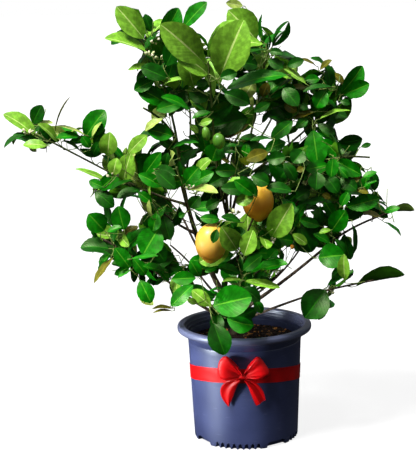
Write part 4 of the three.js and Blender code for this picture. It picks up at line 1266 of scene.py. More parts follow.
def matt_green_finish(name, colour, roughness=0.6):
    """A midrib, or the duller underside of a leaf."""
    finish = Finish(name, specular_ior_level=0.15, specular_tint=LEAF_SHINE)
    mottle = finish.noise(70, 3)
    colour = paint(*colour)
    return finish.shade(
        base_color=finish.mix(mottle.ramp(0.3, 0.7), shifted(colour, 0.82), shifted(colour, 1.15)),
        roughness=mottle * 0.12 + roughness,
        normal=finish.bump(mottle, 0.3, 0.0006),
    )


def leaf_finishes():
    """Three materials a tint: upper side, midrib and underside."""
    finishes = []
    for tint, colours in TINTS.items():
        roughness, coat = (0.34, 0.07) if tint in WAXY_TINTS else (0.4, 0.16)
        finishes.append(blade_finish(f"leaf_{tint}_top", colours["top"], roughness, coat))
        finishes.append(matt_green_finish(f"leaf_{tint}_midrib", colours["rib"], 0.45))
        finishes.append(matt_green_finish(f"leaf_{tint}_underside", colours["under"]))
    return finishes


# Meshes


def add_object(name, data):
    made = bpy.data.objects.new(name, data)
    bpy.context.scene.collection.objects.link(made)
    return made


def add_piece(name, vertices, faces, finishes, material_of=None, uvs=None, sharp=None):
    """A joined mesh from arrays in millimetres, with its materials and a UV for each corner."""
    mesh = bpy.data.meshes.new(name)
    mesh.from_pydata(np.asarray(vertices, float) * MM, [], faces)
    for finish in finishes:
        mesh.materials.append(finish)
    if material_of is not None:
        mesh.polygons.foreach_set("material_index", np.asarray(material_of, np.int32))
    if uvs is not None:
        layer = mesh.uv_layers.new(name="UVMap")
        corners = np.empty(len(mesh.loops), np.int32)
        mesh.loops.foreach_get("vertex_index", corners)
        layer.data.foreach_set("uv", np.asarray(uvs, np.float32)[corners].ravel())
    mesh.polygons.foreach_set("use_smooth", np.ones(len(mesh.polygons), bool))
    if sharp is not None:
        mesh.set_sharp_from_angle(angle=math.radians(sharp))
    mesh.validate()
    mesh.update()
    return add_object(name, mesh)


def settle(piece, slot, *nodes):
    """The piece rides on the one body and stands for nodes of the frame, which it hides; the slot is not
    used.
    """
    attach(piece, "root")
    if nodes:
        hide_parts(*nodes)


# A leaf has nine points at each station along it: six columns over its top, and three below it
LEAF_STATIONS = np.array((0, 0.07, 0.2, 0.37, 0.55, 0.73, 0.87, 0.96, 1.0))
LEAF_COLUMNS = np.array((-1, -0.55, -0.05, 0.05, 0.55, 1.0))
BLADE_THICK = 0.9
LEAF_RING = 9
TIP_HALF_WIDTH = 0.4


def leaf_pattern():
    """Triangles of one leaf with the part of each: 0 upper side, 1 midrib, 2 underside."""
    left_edge, left_below, keel, right_below, right_edge = 0, 6, 7, 8, 5
    upper = [(j, j + 1) for j in range(5)]
    under = list(zip((left_below, keel, right_below, right_edge), (left_edge, left_below, keel, right_below)))
    outer_first = {(0, 1), (1, 2), (right_below, keel), (right_edge, right_below)}
    faces, parts = [], []
    for i in range(len(LEAF_STATIONS) - 1):
        here, ahead = i * LEAF_RING, (i + 1) * LEAF_RING
        for p, q in upper + under:
            if (p, q) in outer_first:
                faces += [(here + p, here + q, ahead + p), (here + q, ahead + q, ahead + p)]
            else:
                faces += [(here + p, here + q, ahead + q), (here + p, ahead + q, ahead + p)]
            parts += [2 if (p, q) in under else 1 if p == 2 else 0] * 2
    last = (len(LEAF_STATIONS) - 1) * LEAF_RING
    ring = (0, 1, 2, 3, 4, right_edge, right_below, keel, left_below)
    faces += [tuple(reversed(ring)), tuple(last + j for j in ring)]
    parts += [2, 2]
    return faces, parts


def blade_surface():
    """The upper faces of one leaf, for the tests."""
    faces, parts = leaf_pattern()
    return [face for face, part in zip(faces, parts) if part < 2]


BLADE_SURFACE = blade_surface()


def half_width(share):
    """Half the blade's width at a share of its length, as a share of the widest."""
    return 2.863 * share ** 0.8 * (1 - share) ** 0.72


def blade_points(leaf, form):
    """Points of a leaf that is folded along its midrib, arched, waved at its rim and a little twisted."""
    random = seeded_random(form * 17 + 5)
    along, across, normal, length = leaf.frame()
    fold = 0.12 + 0.3 * next(random)
    arch = 0.02 + 0.08 * next(random)
    wave = 0.14 * next(random)
    ripples = 1.2 + 1.6 * next(random)
    phase = 6.3 * next(random)
    twist = 0.7 * (next(random) - 0.5)
    stalk = min(PETIOLE / length, 0.12)
    shares = LEAF_STATIONS
    half = np.maximum(half_width(shares) * leaf.width / 2, TIP_HALF_WIDTH)
    place = stalk + (1 - stalk) * shares
    middle = leaf.base + along * (length * place)[:, None]
    middle = middle + normal * (arch * length * 4 * shares * (1 - shares))[:, None]
    angle = twist * (shares - 0.5)
    sideways = across * np.cos(angle)[:, None] + normal * np.sin(angle)[:, None]
    upward = normal * np.cos(angle)[:, None] - across * np.sin(angle)[:, None]
    columns = np.abs(LEAF_COLUMNS)
    rise = fold * columns ** 0.85 + (wave * np.sin(shares * ripples * 6.3 + phase))[:, None] * columns
    top = (middle[:, None] + sideways[:, None] * (half[:, None] * LEAF_COLUMNS)[..., None]
           + upward[:, None] * (half[:, None] * rise)[..., None])
    below = upward * (BLADE_THICK * (0.4 + 0.6 * (1 - shares)))[:, None]
    under = np.stack((top[:, 1] - below * 0.5, middle - below, top[:, 4] - below * 0.5), 1)
    return np.concatenate((top, under), 1).reshape(-1, 3)


def leaf_piece(name, leaves, finishes):
    """All the leaves of some masses as one mesh."""
    faces, parts = leaf_pattern()
    count = len(LEAF_STATIONS) * LEAF_RING
    across = (np.concatenate((LEAF_COLUMNS, LEAF_COLUMNS[[1]], (0,), LEAF_COLUMNS[[4]])) + 1) / 2
    pattern_uvs = np.stack((np.tile(across, len(LEAF_STATIONS)), np.repeat(LEAF_STATIONS, len(across))), 1)
    tints = list(TINTS)
    vertices = np.concatenate([blade_points(leaf, leaf.form) for leaf in leaves])
    all_faces = [tuple(corner + i * count for corner in face) for i in range(len(leaves)) for face in faces]
    material_of = [tints.index(leaf.tint) * 3 + part for leaf in leaves for part in parts]
    uvs = np.tile(pattern_uvs, (len(leaves), 1))
    return add_piece(name, vertices, all_faces, finishes, material_of, uvs, sharp=70)


@dataclass
class Shape:
    """Vertices and faces that grow as tubes and turned shapes are added."""
    vertices: list = field(default_factory=list)
    faces: list = field(default_factory=list)
    materials: list = field(default_factory=list)
    count: int = 0

    def add(self, points, faces, material=0):
        self.vertices.append(np.asarray(points, float))
        self.faces += [tuple(corner + self.count for corner in face) for face in faces]
        self.materials += [material] * len(faces)
        self.count += len(points)

    def piece(self, name, finishes, sharp=None):
        vertices = np.concatenate(self.vertices)
        return add_piece(name, vertices, self.faces, finishes, self.materials, sharp=sharp)


def ring_faces(rings, sides, closed_ends=True):
    """Faces between rings of points, the lowest ring first."""
    faces = []
    for i in range(rings - 1):
        for k in range(sides):
            after = (k + 1) % sides
            faces.append((i * sides + k, i * sides + after, (i + 1) * sides + after, (i + 1) * sides + k))
    if closed_ends:
        faces.append(tuple(reversed(range(sides))))
        faces.append(tuple((rings - 1) * sides + k for k in range(sides)))
    return faces


def tube_points(centres, headings, radii, sides, relief=None):
    """Rings of points round a line of centres, carried along without a twist."""
    side = unit(np.cross(headings[0], np.array((0.31, 0.87, 0.38))))
    rings = []
    for centre, along, radius in zip(centres, headings, radii):
        side = unit(side - along * (side @ along))
        other = np.cross(along, side)
        angles = np.arange(sides) / sides * 2 * math.pi
        outward = np.cos(angles)[:, None] * side + np.sin(angles)[:, None] * other
        ring = centre + outward * radius
        if relief:
            ring = ring + outward * np.array([relief(point, radius) for point in ring])[:, None]
        rings.append(ring)
    return np.concatenate(rings)


def add_tube(shape, curve, radii, sides, steps, material=0):
    shares = np.arange(steps + 1) / steps
    headings = [curve.heading(share) for share in shares]
    widths = radii[0] + (radii[1] - radii[0]) * shares
    points = tube_points(curve.at(shares), headings, widths, sides)
    shape.add(points, ring_faces(steps + 1, sides), material)


# Bark

BARK_SIDES = 14
BARK_STEP = 5
BOUGH_THICKNESS = 0.8
COLLAR = 0.3

# The dark and the light colour of old bark, of the fresh bark above it, and of twigs
OLD_BARK = (30, 22, 17), (98, 82, 64)
FRESH_BARK = (58, 74, 30), (112, 128, 62)
TWIG_GREENS = (70, 98, 34), (138, 160, 78)
LICHEN = (86, 84, 62)


def bark_relief(point, radius):
    """Ridges that run up the wood, deeper on the thick old limbs, and fine grain over them."""
    x, y, z = point
    ridges = noise.noise(Vector((x / 3.2, y / 3.2, z / 26)))
    grain = noise.noise(Vector((x / 1.3, y / 1.3, z / 5)))
    return 0.11 * radius * ridges * min(1, radius / 6) + 0.12 * grain


def limb_line(limb, stem):
    """Centres, headings and radii along a limb and on through its stem."""
    lengths = limb.curve.length()
    steps = max(8, int(lengths / BARK_STEP))
    shares = np.arange(steps + 1) / steps
    centres = list(limb.curve.at(shares))
    headings = [limb.curve.heading(share) for share in shares]
    radii = list(limb.radii[0] + (limb.radii[1] - limb.radii[0]) * shares + limb.flare * np.exp(-shares * 9))
    if limb.name != "trunk":
        along = shares * lengths
        collars = [1 + COLLAR * math.exp(-(place / 14) ** 2) for place in along]
        radii = [radius * BOUGH_THICKNESS * collar for radius, collar in zip(radii, collars)]
    if stem:
        steps = max(6, int(stem.curve.length() / BARK_STEP))
        shares = np.arange(1, steps + 1) / steps
        centres += list(stem.curve.at(shares))
        headings += [stem.curve.heading(share) for share in shares]
        low = limb.radii[1] * BOUGH_THICKNESS
        radii += list(low + (STEM_TIP_RADIUS - low) * shares)
    nodes = [1 + 0.05 * math.sin(i * 1.3) ** 8 for i in range(len(radii))]
    return centres, headings, [radius * node for radius, node in zip(radii, nodes)]


def bark_finish():
    """Grey-brown, cracked bark low down that turns olive and then green on the young wood above."""
    finish = Finish("bark_wood", specular_ior_level=0.25)
    streaks = finish.noise(1, 6, finish.stretched((420, 420, 70)))
    patches = finish.noise(60, 4)
    old = finish.mottled(streaks, 0.35, 0.68, *OLD_BARK)
    lichen = finish.mix(patches.ramp(0.58, 0.72), old, paint(*LICHEN))
    fresh = finish.mottled(streaks, 0.3, 0.7, *FRESH_BARK)
    share = (finish.height_above_floor() + patches * 0.12).ramp(0.5, 0.72)
    return finish.shade(
        base_color=finish.mix(share, lichen, fresh),
        roughness=0.85 - streaks * 0.25,
        normal=finish.bump(streaks * 0.8 + patches * 0.3, 0.8, 0.0012),
    )


def twig_finish():
    finish = Finish("twig_green", roughness=0.55, specular_ior_level=0.3)
    streaks = finish.noise(1, 4, finish.stretched((300, 300, 120)))
    tinted = finish.mottled(streaks, 0.3, 0.7, *TWIG_GREENS)
    return finish.shade(base_color=tinted, normal=finish.bump(streaks, 0.4, 0.0005))


def build_limbs(crown):
    shape = Shape()
    stems = {stem.name: stem for stem in crown.stems}
    for name, limb in crown.limbs.items():
        centres, headings, radii = limb_line(limb, stems.get(name))
        points = tube_points(centres, headings, radii, BARK_SIDES, bark_relief)
        shape.add(points, ring_faces(len(centres), BARK_SIDES))
    piece = shape.piece("trunk_and_boughs", [bark_finish()])
    settle(piece, "bark", "trunk", *(f"{name}_bough" for name in BOUGHS))


def build_twigs(crown):
    shape = Shape()
    for mass in crown.masses.values():
        for twig in mass.twigs:
            add_tube(shape, twig.curve, twig.radii, 6, 5)
        for leaf in mass.leaves:
            along, _, _, length = leaf.frame()
            end = leaf.base + along * (min(PETIOLE / length, 0.12) * length + 1.5)
            add_tube(shape, bent_curve(leaf.base - along * 0.5, end, (0, 0, 0)), (0.9, 0.65), 5, 1)
    settle(shape.piece("twigs_and_leaf_stalks", [twig_finish()]), "foliage")


def build_leaves(crown):
    finishes = leaf_finishes()
    for name, masses in CROWN_PARTS.items():
        leaves = [leaf for mass in masses for leaf in crown.masses[mass].leaves]
        settle(leaf_piece(name, leaves, finishes), "foliage", *(f"{mass}_leaves" for mass in masses))


# Fruit

LEMON_RINGS = 28
LEMON_SIDES = 40
FRUIT_STALK_RADII = (1.7, 1.5)
FULL_STALK_FRUIT = 12

# Each rind's dull and light colour, the darker, more orange colour of its lower part, and the height in
# metres below which that colour comes in
RINDS = {
    "rind_ripe": ((246, 190, 66), (252, 204, 92), (240, 150, 24), 0.425),
    "rind_warm": ((248, 184, 44), (252, 200, 70), (240, 146, 18), 0.52),
    "rind_green": ((72, 132, 30), (104, 158, 44), (60, 120, 26), 0.63),
}
BUD_CREAMS = (206, 216, 150), (238, 226, 206)

# The button under the stalk, as shares of the fruit's radius: radii and heights
BUTTON = np.array(((0, 0.18, 0.162, 0), (0.1, 0.06, -0.02, -0.05)))


def lemon_profile(radius, half_length):
    """Radius and height of a lemon from its stalk end down to its nipple."""
    turns = np.linspace(0, math.pi, LEMON_RINGS)
    around = radius * np.sin(turns) ** 0.92
    height = half_length * np.cos(turns)
    nipple = np.exp(-((turns - math.pi) / 0.34) ** 2)
    neck = np.exp(-(turns / 0.3) ** 2)
    return around * (1 - 0.12 * nipple), height - half_length * 0.13 * nipple + half_length * 0.05 * neck


def turned(profile, sides, centre=(0, 0, 0), axis=UP, side=None, lumps=0.0):
    """Points and faces of a turned shape: radii and heights along its axis, from one pole to the other."""
    axis = unit(np.array(axis, float))
    if side is None:
        side = unit(np.cross(axis, np.array((0.3, 0.8, 0.5))))
    other = np.cross(axis, side)
    angles = np.arange(sides) / sides * 2 * math.pi
    outward = np.cos(angles)[:, None] * side + np.sin(angles)[:, None] * other
    radii, heights = profile
    points = []
    for radius, height in zip(radii[1:-1], heights[1:-1]):
        ring = np.array(centre) + outward * radius + axis * height
        if lumps:
            ring += outward * np.array([lumps * noise.noise(Vector(point / 9)) for point in ring])[:, None]
        points += list(ring)
    count = len(points)
    points += [np.array(centre) + axis * heights[0], np.array(centre) + axis * heights[-1]]
    faces = ring_faces(count // sides, sides, closed_ends=False)
    for k in range(sides):
        after = (k + 1) % sides
        faces += [(count, after, k), (count - sides + k, count - sides + after, count + 1)]
    if heights[0] > heights[-1]:
        faces = [tuple(reversed(face)) for face in faces]
    return np.array(points), faces


def rind_finish(name, low, high, lower_colour, lower_height):
    """Waxy dimpled rind, turning darker and more orange below a height."""
    finish = Finish(name, coat_weight=0.25, coat_roughness=0.3, subsurface_weight=0.12,
                    subsurface_radius=(0.006, 0.003, 0.001), specular_ior_level=0.45)
    pores = finish.node("ShaderNodeTexVoronoi", None, {"Vector": finish.place, "Scale": 520}, "Distance")
    patches = finish.noise(26, 3)
    base = finish.mottled(patches, 0.3, 0.7, low, high)
    height = finish.height_above_floor() - patches * 0.02
    # Below the height the rind is mixed towards a darker, more orange colour
    warmth = 1 - height.ramp(lower_height - 0.024, lower_height + 0.01)
    return finish.shade(
        base_color=finish.mix(warmth * 0.8, base, paint(*lower_colour)),
        roughness=pores * 0.1 + 0.36,
        normal=finish.bump(pores.ramp(0.0, 0.5) + patches * 0.4, 0.35, 0.0006),
    )


def build_fruit(crown):
    """The fruit with their stalks: finishes 0 to 2 are rinds, and 3 is the green of stalk and button."""
    finishes = [rind_finish(name, *rind) for name, rind in RINDS.items()] + [twig_finish()]
    shape = Shape()
    for i, (mass, centre, radius, half_length, is_ripe) in enumerate(crown.fruits):
        rind = min(i, 1) if is_ripe else 2
        axis = (0.06 - 0.1 * min(i, 2), -0.05, 1)
        lumps = 0.5 if radius > 20 else 0.2
        shape.add(*turned(lemon_profile(radius, half_length), LEMON_SIDES, centre, axis, lumps=lumps), rind)
        top = np.array(centre) + UP * half_length * 0.98
        thick = np.array(FRUIT_STALK_RADII) * min(1, radius / FULL_STALK_FRUIT)
        add_tube(shape, crown.clear_twig(top, crown.masses[mass]), thick, 8, 6, 3)
        shape.add(*turned(BUTTON * radius, 10, top), 3)
    settle(shape.piece("lemons", finishes), "foliage")


def bud_finish():
    """Closed petals, cream with a breath of pink and green."""
    finish = Finish("flower_bud", specular_ior_level=0.3, subsurface_weight=0.1,
                    subsurface_radius=(0.002, 0.001, 0.001))
    patches = finish.noise(120, 3)
    return finish.shade(
        base_color=finish.mottled(patches, 0.3, 0.7, *BUD_CREAMS),
        roughness=patches * 0.1 + 0.5,
        normal=finish.bump(patches, 0.2, 0.0003),
    )


def build_buds(crown):
    """Clusters of closed buds, each on its own stalk from the end of a twig."""
    shape = Shape()
    turns = np.linspace(0, math.pi, 8)
    for i, place in enumerate(np.array(BUD_PLACES, float)):
        gaps = np.linalg.norm(crown.stem_samples - place, axis=2).min(1)
        nearest = crown.stems[int(np.argmin(gaps))].name
        add_tube(shape, crown.clear_twig(place, crown.masses[nearest]), (1.1, 0.9), 6, 5, 1)
        random = seeded_random(i * 61 + 5)
        for k in range(BUDS_A_CLUSTER):
            turn = k * GOLDEN_ANGLE + next(random)
            out = unit(np.array((math.cos(turn), -0.4 + 0.7 * math.sin(turn), 0.9 * next(random) + 0.2)))
            size = 1.7 + 1.3 * next(random)
            end = place + out * (5 + 4 * next(random))
            add_tube(shape, bent_curve(place, end, (0, 0, 0)), (0.6, 0.8), 5, 1, 1)
            profile = (size * np.sin(turns) ** 0.8, size * 1.7 * np.cos(turns))
            shape.add(*turned(profile, 10, end + out * size * 1.4, out))
    settle(shape.piece("flower_buds", [bud_finish(), twig_finish()]), "foliage")


# The pot

POT_LIP_DEPTH = 13
POT_LIP_RING = 15
POT_NECK_RADIUS = 123
POT_NECK_HEIGHT = 219
POT_SHOULDER_RADIUS = 118
POT_SHOULDER_HEIGHT = 209
POT_BASE_RADIUS = 109
POT_WALL = 3
POT_SEGMENTS = 192
WALL_STEP = 14
FOOT_ROUNDING = 1.2
SHOULDER_ROUNDING = 2.6
LIP_ROUNDING = 5
LIP_INSIDE = 3
INNER_STEPS = 3
INNER_STEP_DEPTH = 2.4
BASE_THICK = 16
NOTCH_COUNT = 4
NOTCH_WIDTH = 50
NOTCH_HEIGHT = 12
NOTCH_DEPTH = 12
NOTCH_TURN = 35

# The slots between the notches: half ellipsoids, degrees apart
SLOT_PITCH = 6.6
SLOTS_A_FOOT = 8
SLOT_HEIGHT = 12.5
SLOT_HALF_WIDTH = 4.9

# The pot's plastic: its two blues, where it is worn, the paler blue painted on near the rim as light from
# above, and how far down from the rim that painted light reaches
PLASTIC_BLUES = (40, 47, 82), (52, 60, 98)
WORN_PLASTIC = (112, 118, 146)
RIM_PAINTED_LIGHT = (116, 122, 146)
PAINTED_LIGHT_DEPTH = 24


def arc(centre, radius, start, end, steps):
    """Points of an arc in the profile's plane, angles in degrees from outwards, turning up."""
    angles = np.radians(np.linspace(start, end, steps))
    return [(centre[0] + radius * math.cos(a), centre[1] + radius * math.sin(a)) for a in angles]


def pot_wall(height):
    return POT_BASE_RADIUS + (POT_SHOULDER_RADIUS - POT_BASE_RADIUS) * height / POT_SHOULDER_HEIGHT


def pot_profile():
    """The pot's closed outline: foot, wall, shoulder, neck, rolled lip, stepped inside and thick base."""
    lip_low = POT_HEIGHT - POT_LIP_DEPTH
    outer = POT_LIP_RADIUS - LIP_ROUNDING
    inner = POT_LIP_RADIUS - POT_LIP_RING
    profile = [(0, 0), (POT_BASE_RADIUS - 1.5, 0)]
    profile += arc((POT_BASE_RADIUS - FOOT_ROUNDING, FOOT_ROUNDING), FOOT_ROUNDING, -90, 0, 4)
    profile += [(pot_wall(z), z) for z in range(WALL_STEP, POT_SHOULDER_HEIGHT - 2, WALL_STEP)]
    profile += arc((POT_SHOULDER_RADIUS - 2.5, POT_SHOULDER_HEIGHT - 2.5), SHOULDER_ROUNDING, 0, 50, 4)
    profile += [
        (POT_SHOULDER_RADIUS + 1.2, POT_SHOULDER_HEIGHT + 2), (POT_NECK_RADIUS - 2.4, POT_NECK_HEIGHT),
        (POT_NECK_RADIUS, POT_NECK_HEIGHT + 5), (POT_NECK_RADIUS, lip_low - 1),
    ]
    profile += arc((outer, lip_low + LIP_ROUNDING), LIP_ROUNDING, -80, 0, 6)
    profile += arc((outer, POT_HEIGHT - LIP_ROUNDING), LIP_ROUNDING, 0, 90, 7)
    profile += arc((inner + LIP_INSIDE, POT_HEIGHT - LIP_INSIDE), LIP_INSIDE, 90, 180, 5)
    step = (POT_HEIGHT - LIP_INSIDE - SOIL_TOP) / (INNER_STEPS + 1)
    for i in range(1, INNER_STEPS + 1):
        reach = inner - (i - 1) * INNER_STEP_DEPTH
        height = POT_HEIGHT - LIP_INSIDE - i * step
        for inset, rise in ((0.1, 1.3), (0.5, 0.4), (INNER_STEP_DEPTH, 0)):
            profile.append((reach - inset, height + rise))
    profile += [
        (POT_SHOULDER_RADIUS - POT_WALL, POT_SHOULDER_HEIGHT - 2), (POT_BASE_RADIUS - POT_WALL, BASE_THICK),
        (0, BASE_THICK),
    ]
    return profile


def arch_outline(width, height, corner, slant, below):
    """The outline of a low arch that opens downwards, with rounded corners."""
    half = width / 2
    top = half - slant
    bend = (corner / 2, corner / 2)
    rounding = bent_curve((top, height - corner), (top - corner, height), bend).samples(6)
    right = [(half, -below), *rounding]
    return right + [(-x, z) for x, z in reversed(right)]


def add_arch_cutter(shape, outline, near, far, turn):
    """A block with the arch's outline that runs from one radius to another, turned about the pot's axis."""
    angle = math.radians(turn)
    out = np.array((math.sin(angle), -math.cos(angle), 0))
    side = np.array((math.cos(angle), math.sin(angle), 0))
    points = [out * reach + side * x + UP * z for reach in (near, far) for x, z in outline]
    count = len(outline)
    faces = [((k + 1) % count, count + (k + 1) % count, count + k, k) for k in range(count)]
    faces += [tuple(reversed(range(count))), tuple(count + k for k in range(count))]
    shape.add(points, faces)


class GeometryTree(Wiring):
    """A Geometry Nodes tree with named inputs, by kind, that ends in Realize Instances and Set Material."""

    def __init__(self, name, **inputs):
        tree = bpy.data.node_groups.new(name, "GeometryNodeTree")
        tree.is_modifier = True
        super().__init__(tree)
        tree.interface.new_socket("Geometry", in_out="INPUT", socket_type="NodeSocketGeometry")
        for kind, labels in inputs.items():
            for label in labels.split():
                tree.interface.new_socket(label, in_out="INPUT", socket_type=f"NodeSocket{kind}")
        tree.interface.new_socket("Geometry", in_out="OUTPUT", socket_type="NodeSocketGeometry")
        self.group_input = tree.nodes.new("NodeGroupInput")
        self.group_output = tree.nodes.new("NodeGroupOutput")

    def input(self, label):
        return Wire(self, self.group_input.outputs[label])

    def end(self, geometry, material):
        real = self.node("GeometryNodeRealizeInstances", None, {"Geometry": geometry})
        finished = self.node("GeometryNodeSetMaterial", None, {"Geometry": real, "Material": material})
        self.feed(self.group_output.inputs["Geometry"], finished)

    def made_on(self, host, name, values):
        """The tree's result on a host object, as a plain mesh object."""
        modifier = host.modifiers.new("grow", "NODES")
        modifier.node_group = self.tree
        for item in self.tree.interface.items_tree:
            if item.item_type == "SOCKET" and item.in_out == "INPUT" and item.name in values:
                modifier[item.identifier] = values[item.name]
        evaluated = host.evaluated_get(bpy.context.evaluated_depsgraph_get())
        mesh = bpy.data.meshes.new_from_object(evaluated)
        host.modifiers.remove(modifier)
        return add_object(name, mesh)


def slot_cutters():
    """Short upright slots round the foot, in rows between the notches, by Geometry Nodes."""
    tree = GeometryTree("foot_slots", Float="Radius Pitch Height Width First", Int="Count Feet",
                        Material="Finish")
    count, radius, width = (tree.input(label) for label in ("Count", "Radius", "Width"))
    points = tree.node("GeometryNodePoints", None, {"Count": count * tree.input("Feet")})
    index = tree.node("GeometryNodeInputIndex")
    foot = (index / count + 0.001).floor()
    centred = index - foot * count - (count - 1) / 2
    angle = tree.input("First") + foot * (2 * math.pi / NOTCH_COUNT) + centred * tree.input("Pitch")
    across, outward = angle.sine() * radius, (angle + math.pi / 2).sine() * radius * -1
    place = tree.node("ShaderNodeCombineXYZ", None, {"X": across, "Y": outward})
    placed = tree.node("GeometryNodeSetPosition", None, {"Geometry": points, "Position": place})
    pin = tree.node("GeometryNodeMeshUVSphere", None, {"Segments": 12, "Rings": 8, "Radius": 1.0}, "Mesh")
    size = tree.node("ShaderNodeCombineXYZ", None, {"X": width, "Y": width * 1.8, "Z": tree.input("Height")})
    turn = tree.node("ShaderNodeCombineXYZ", None, {"Z": angle})
    rows = tree.node("GeometryNodeInstanceOnPoints", None,
                     {"Points": placed, "Instance": pin, "Rotation": turn, "Scale": size})
    tree.end(rows, tree.input("Finish"))
    return tree


def moulded_finish():
    """Injection-moulded nursery plastic, slate blue, a little scuffed and dusty, and paler near the rim as
    painted light from above.
    """
    finish = Finish("pot_plastic", coat_weight=0.1, coat_roughness=0.3, specular_ior_level=0.7,
                    specular_tint=(0.8, 0.92, 1.0, 1.0))
    haze = finish.noise(14, 4)
    scuffs = finish.noise(1, 5, finish.stretched((40, 40, 260)))
    base = finish.mottled(haze, 0.3, 0.7, *PLASTIC_BLUES)
    worn = finish.mix(scuffs.ramp(0.6, 0.78) * 0.3, base, paint(*WORN_PLASTIC))
    # Painted light: the lip and the top of the inside wall are mixed towards a paler blue, as if lit from
    # above
    painted_light_share = (finish.height_above_floor() / MM).ramp(POT_HEIGHT - PAINTED_LIGHT_DEPTH, POT_HEIGHT - PAINTED_LIGHT_DEPTH / 2)
    return finish.shade(
        base_color=finish.mix(painted_light_share * 0.4, worn, paint(*RIM_PAINTED_LIGHT)),
        roughness=haze * 0.14 + 0.34,
        normal=finish.bump(finish.noise(700, 2) * 0.4 + scuffs * 0.3, 0.18, 0.0004),
    )


def cut_away(host, cutter):
    """Cuts one closed mesh out of another, and drops the modifier and the cutter."""
    modifier = host.modifiers.new("cut", "BOOLEAN")
    modifier.operation = "DIFFERENCE"
    modifier.solver = "EXACT"
    modifier.object = cutter
    evaluated = host.evaluated_get(bpy.context.evaluated_depsgraph_get())
    mesh = bpy.data.meshes.new_from_object(evaluated)
    host.modifiers.remove(modifier)
    host.data = mesh
    bpy.data.objects.remove(cutter)


def build_pot():
    """The pot, with arched notches cut into its foot and rows of slots between them."""
    plastic = moulded_finish()
    body = turned(np.array(pot_profile()).T, POT_SEGMENTS, side=np.array((1.0, 0.0, 0.0)))
    pot = add_piece("nursery_pot", *body, [plastic])
    notches = Shape()
    outline = arch_outline(NOTCH_WIDTH, NOTCH_HEIGHT, corner=7, slant=3, below=5)
    near, far = POT_BASE_RADIUS - NOTCH_DEPTH, POT_BASE_RADIUS + 20
    for i in range(NOTCH_COUNT):
        add_arch_cutter(notches, outline, near, far, NOTCH_TURN + i * 360 / NOTCH_COUNT)
    cut_away(pot, notches.piece("notch_cutters", [plastic]))
    host = add_piece("slot_host", [(0, 0, 0), (1, 0, 0), (0, 1, 0)], [(0, 1, 2)], [plastic])
    first = math.radians(NOTCH_TURN - 180 / NOTCH_COUNT)
    slots = slot_cutters().made_on(host, "slot_cutters", {
        "Radius": (POT_BASE_RADIUS + 0.6) * MM, "Pitch": math.radians(SLOT_PITCH), "Height": SLOT_HEIGHT * MM,
        "Width": SLOT_HALF_WIDTH * MM, "Count": SLOTS_A_FOOT, "Feet": NOTCH_COUNT, "First": first,
        "Finish": plastic,
    })
    bpy.data.objects.remove(host)
    cut_away(pot, slots)
    pot.data.polygons.foreach_set("use_smooth", np.ones(len(pot.data.polygons), bool))
    pot.data.set_sharp_from_angle(angle=math.radians(38))
    settle(pot, "pot", "pot")


# Potting mix

SOIL_EDGE = 205
SOIL_RADIUS = 115.2
CHIP_REACH = 108
SOIL_CROWN_RADIUS = 60
SOIL_EDGE_RADIUS = 112
MIX_BROWNS = (8, 5, 3), (46, 28, 16)
PALE_CRUMBS = (126, 96, 62)

# Bark chips: name, width and thickness as shares of the length, the two colours of their grain, how many a
# square metre, the smallest and largest length in metres, and the seed
CHIP_KINDS = [
    ("bark_chips_dark", 0.55, 0.3, (10, 6, 4), (44, 26, 14), 26000, 0.004, 0.011, 3),
    ("bark_chips_ochre", 0.42, 0.24, (120, 76, 34), (188, 130, 66), 2600, 0.005, 0.014, 11),
    ("bark_chips_pale", 0.35, 0.2, (170, 148, 102), (216, 198, 152), 900, 0.003, 0.008, 19),
]
CHIP_SIDES = 7


def soil_finish():
    finish = Finish("potting_mix", specular_ior_level=0.2)
    crumbs = finish.noise(240, 6)
    patches = finish.noise(40, 3)
    dark = finish.mottled(crumbs, 0.38, 0.66, *MIX_BROWNS)
    return finish.shade(
        base_color=finish.mix(patches.ramp(0.55, 0.75) * 0.5, dark, paint(*PALE_CRUMBS)),
        roughness=0.9 - crumbs * 0.1,
        normal=finish.bump(crumbs, 1.0, 0.003),
    )


def chip_finish(name, low, high):
    finish = Finish(name, specular_ior_level=0.25)
    grain = finish.noise(1, 5, finish.stretched((500, 180, 180)))
    return finish.shade(
        base_color=finish.mottled(grain, 0.3, 0.7, low, high),
        roughness=grain * 0.2 + 0.7,
        normal=finish.bump(grain, 0.7, 0.001),
    )


def soil_height(x, y):
    """Height of the mix: a low crown in the middle, loose and lumpy."""
    distance = math.hypot(x, y)
    fall = max(0.0, (distance - SOIL_CROWN_RADIUS) / (SOIL_EDGE_RADIUS - SOIL_CROWN_RADIUS))
    lumps = noise.noise(Vector((x / 16, y / 16, 3))) * 2.4 + noise.noise(Vector((x / 5, y / 5, 7))) * 1.2
    return SOIL_TOP - (SOIL_TOP - SOIL_EDGE) * min(1.0, fall) + lumps


def soil_top(rings, segments, outer):
    """Points and faces of the top of the mix, from the middle out."""
    angles = np.arange(segments) / segments * 2 * math.pi
    points = [(0, 0, soil_height(0, 0))]
    for i in range(1, rings + 1):
        radius = outer * i / rings
        places = [(radius * math.cos(angle), radius * math.sin(angle)) for angle in angles]
        points += [(x, y, soil_height(x, y)) for x, y in places]
    faces = [(0, 1 + k, 1 + (k + 1) % segments) for k in range(segments)]
    for i in range(rings - 1):
        here, ahead = 1 + i * segments, 1 + (i + 1) * segments
        faces += [(here + k, ahead + k, ahead + (k + 1) % segments, here + (k + 1) % segments)
                  for k in range(segments)]
    return points, faces


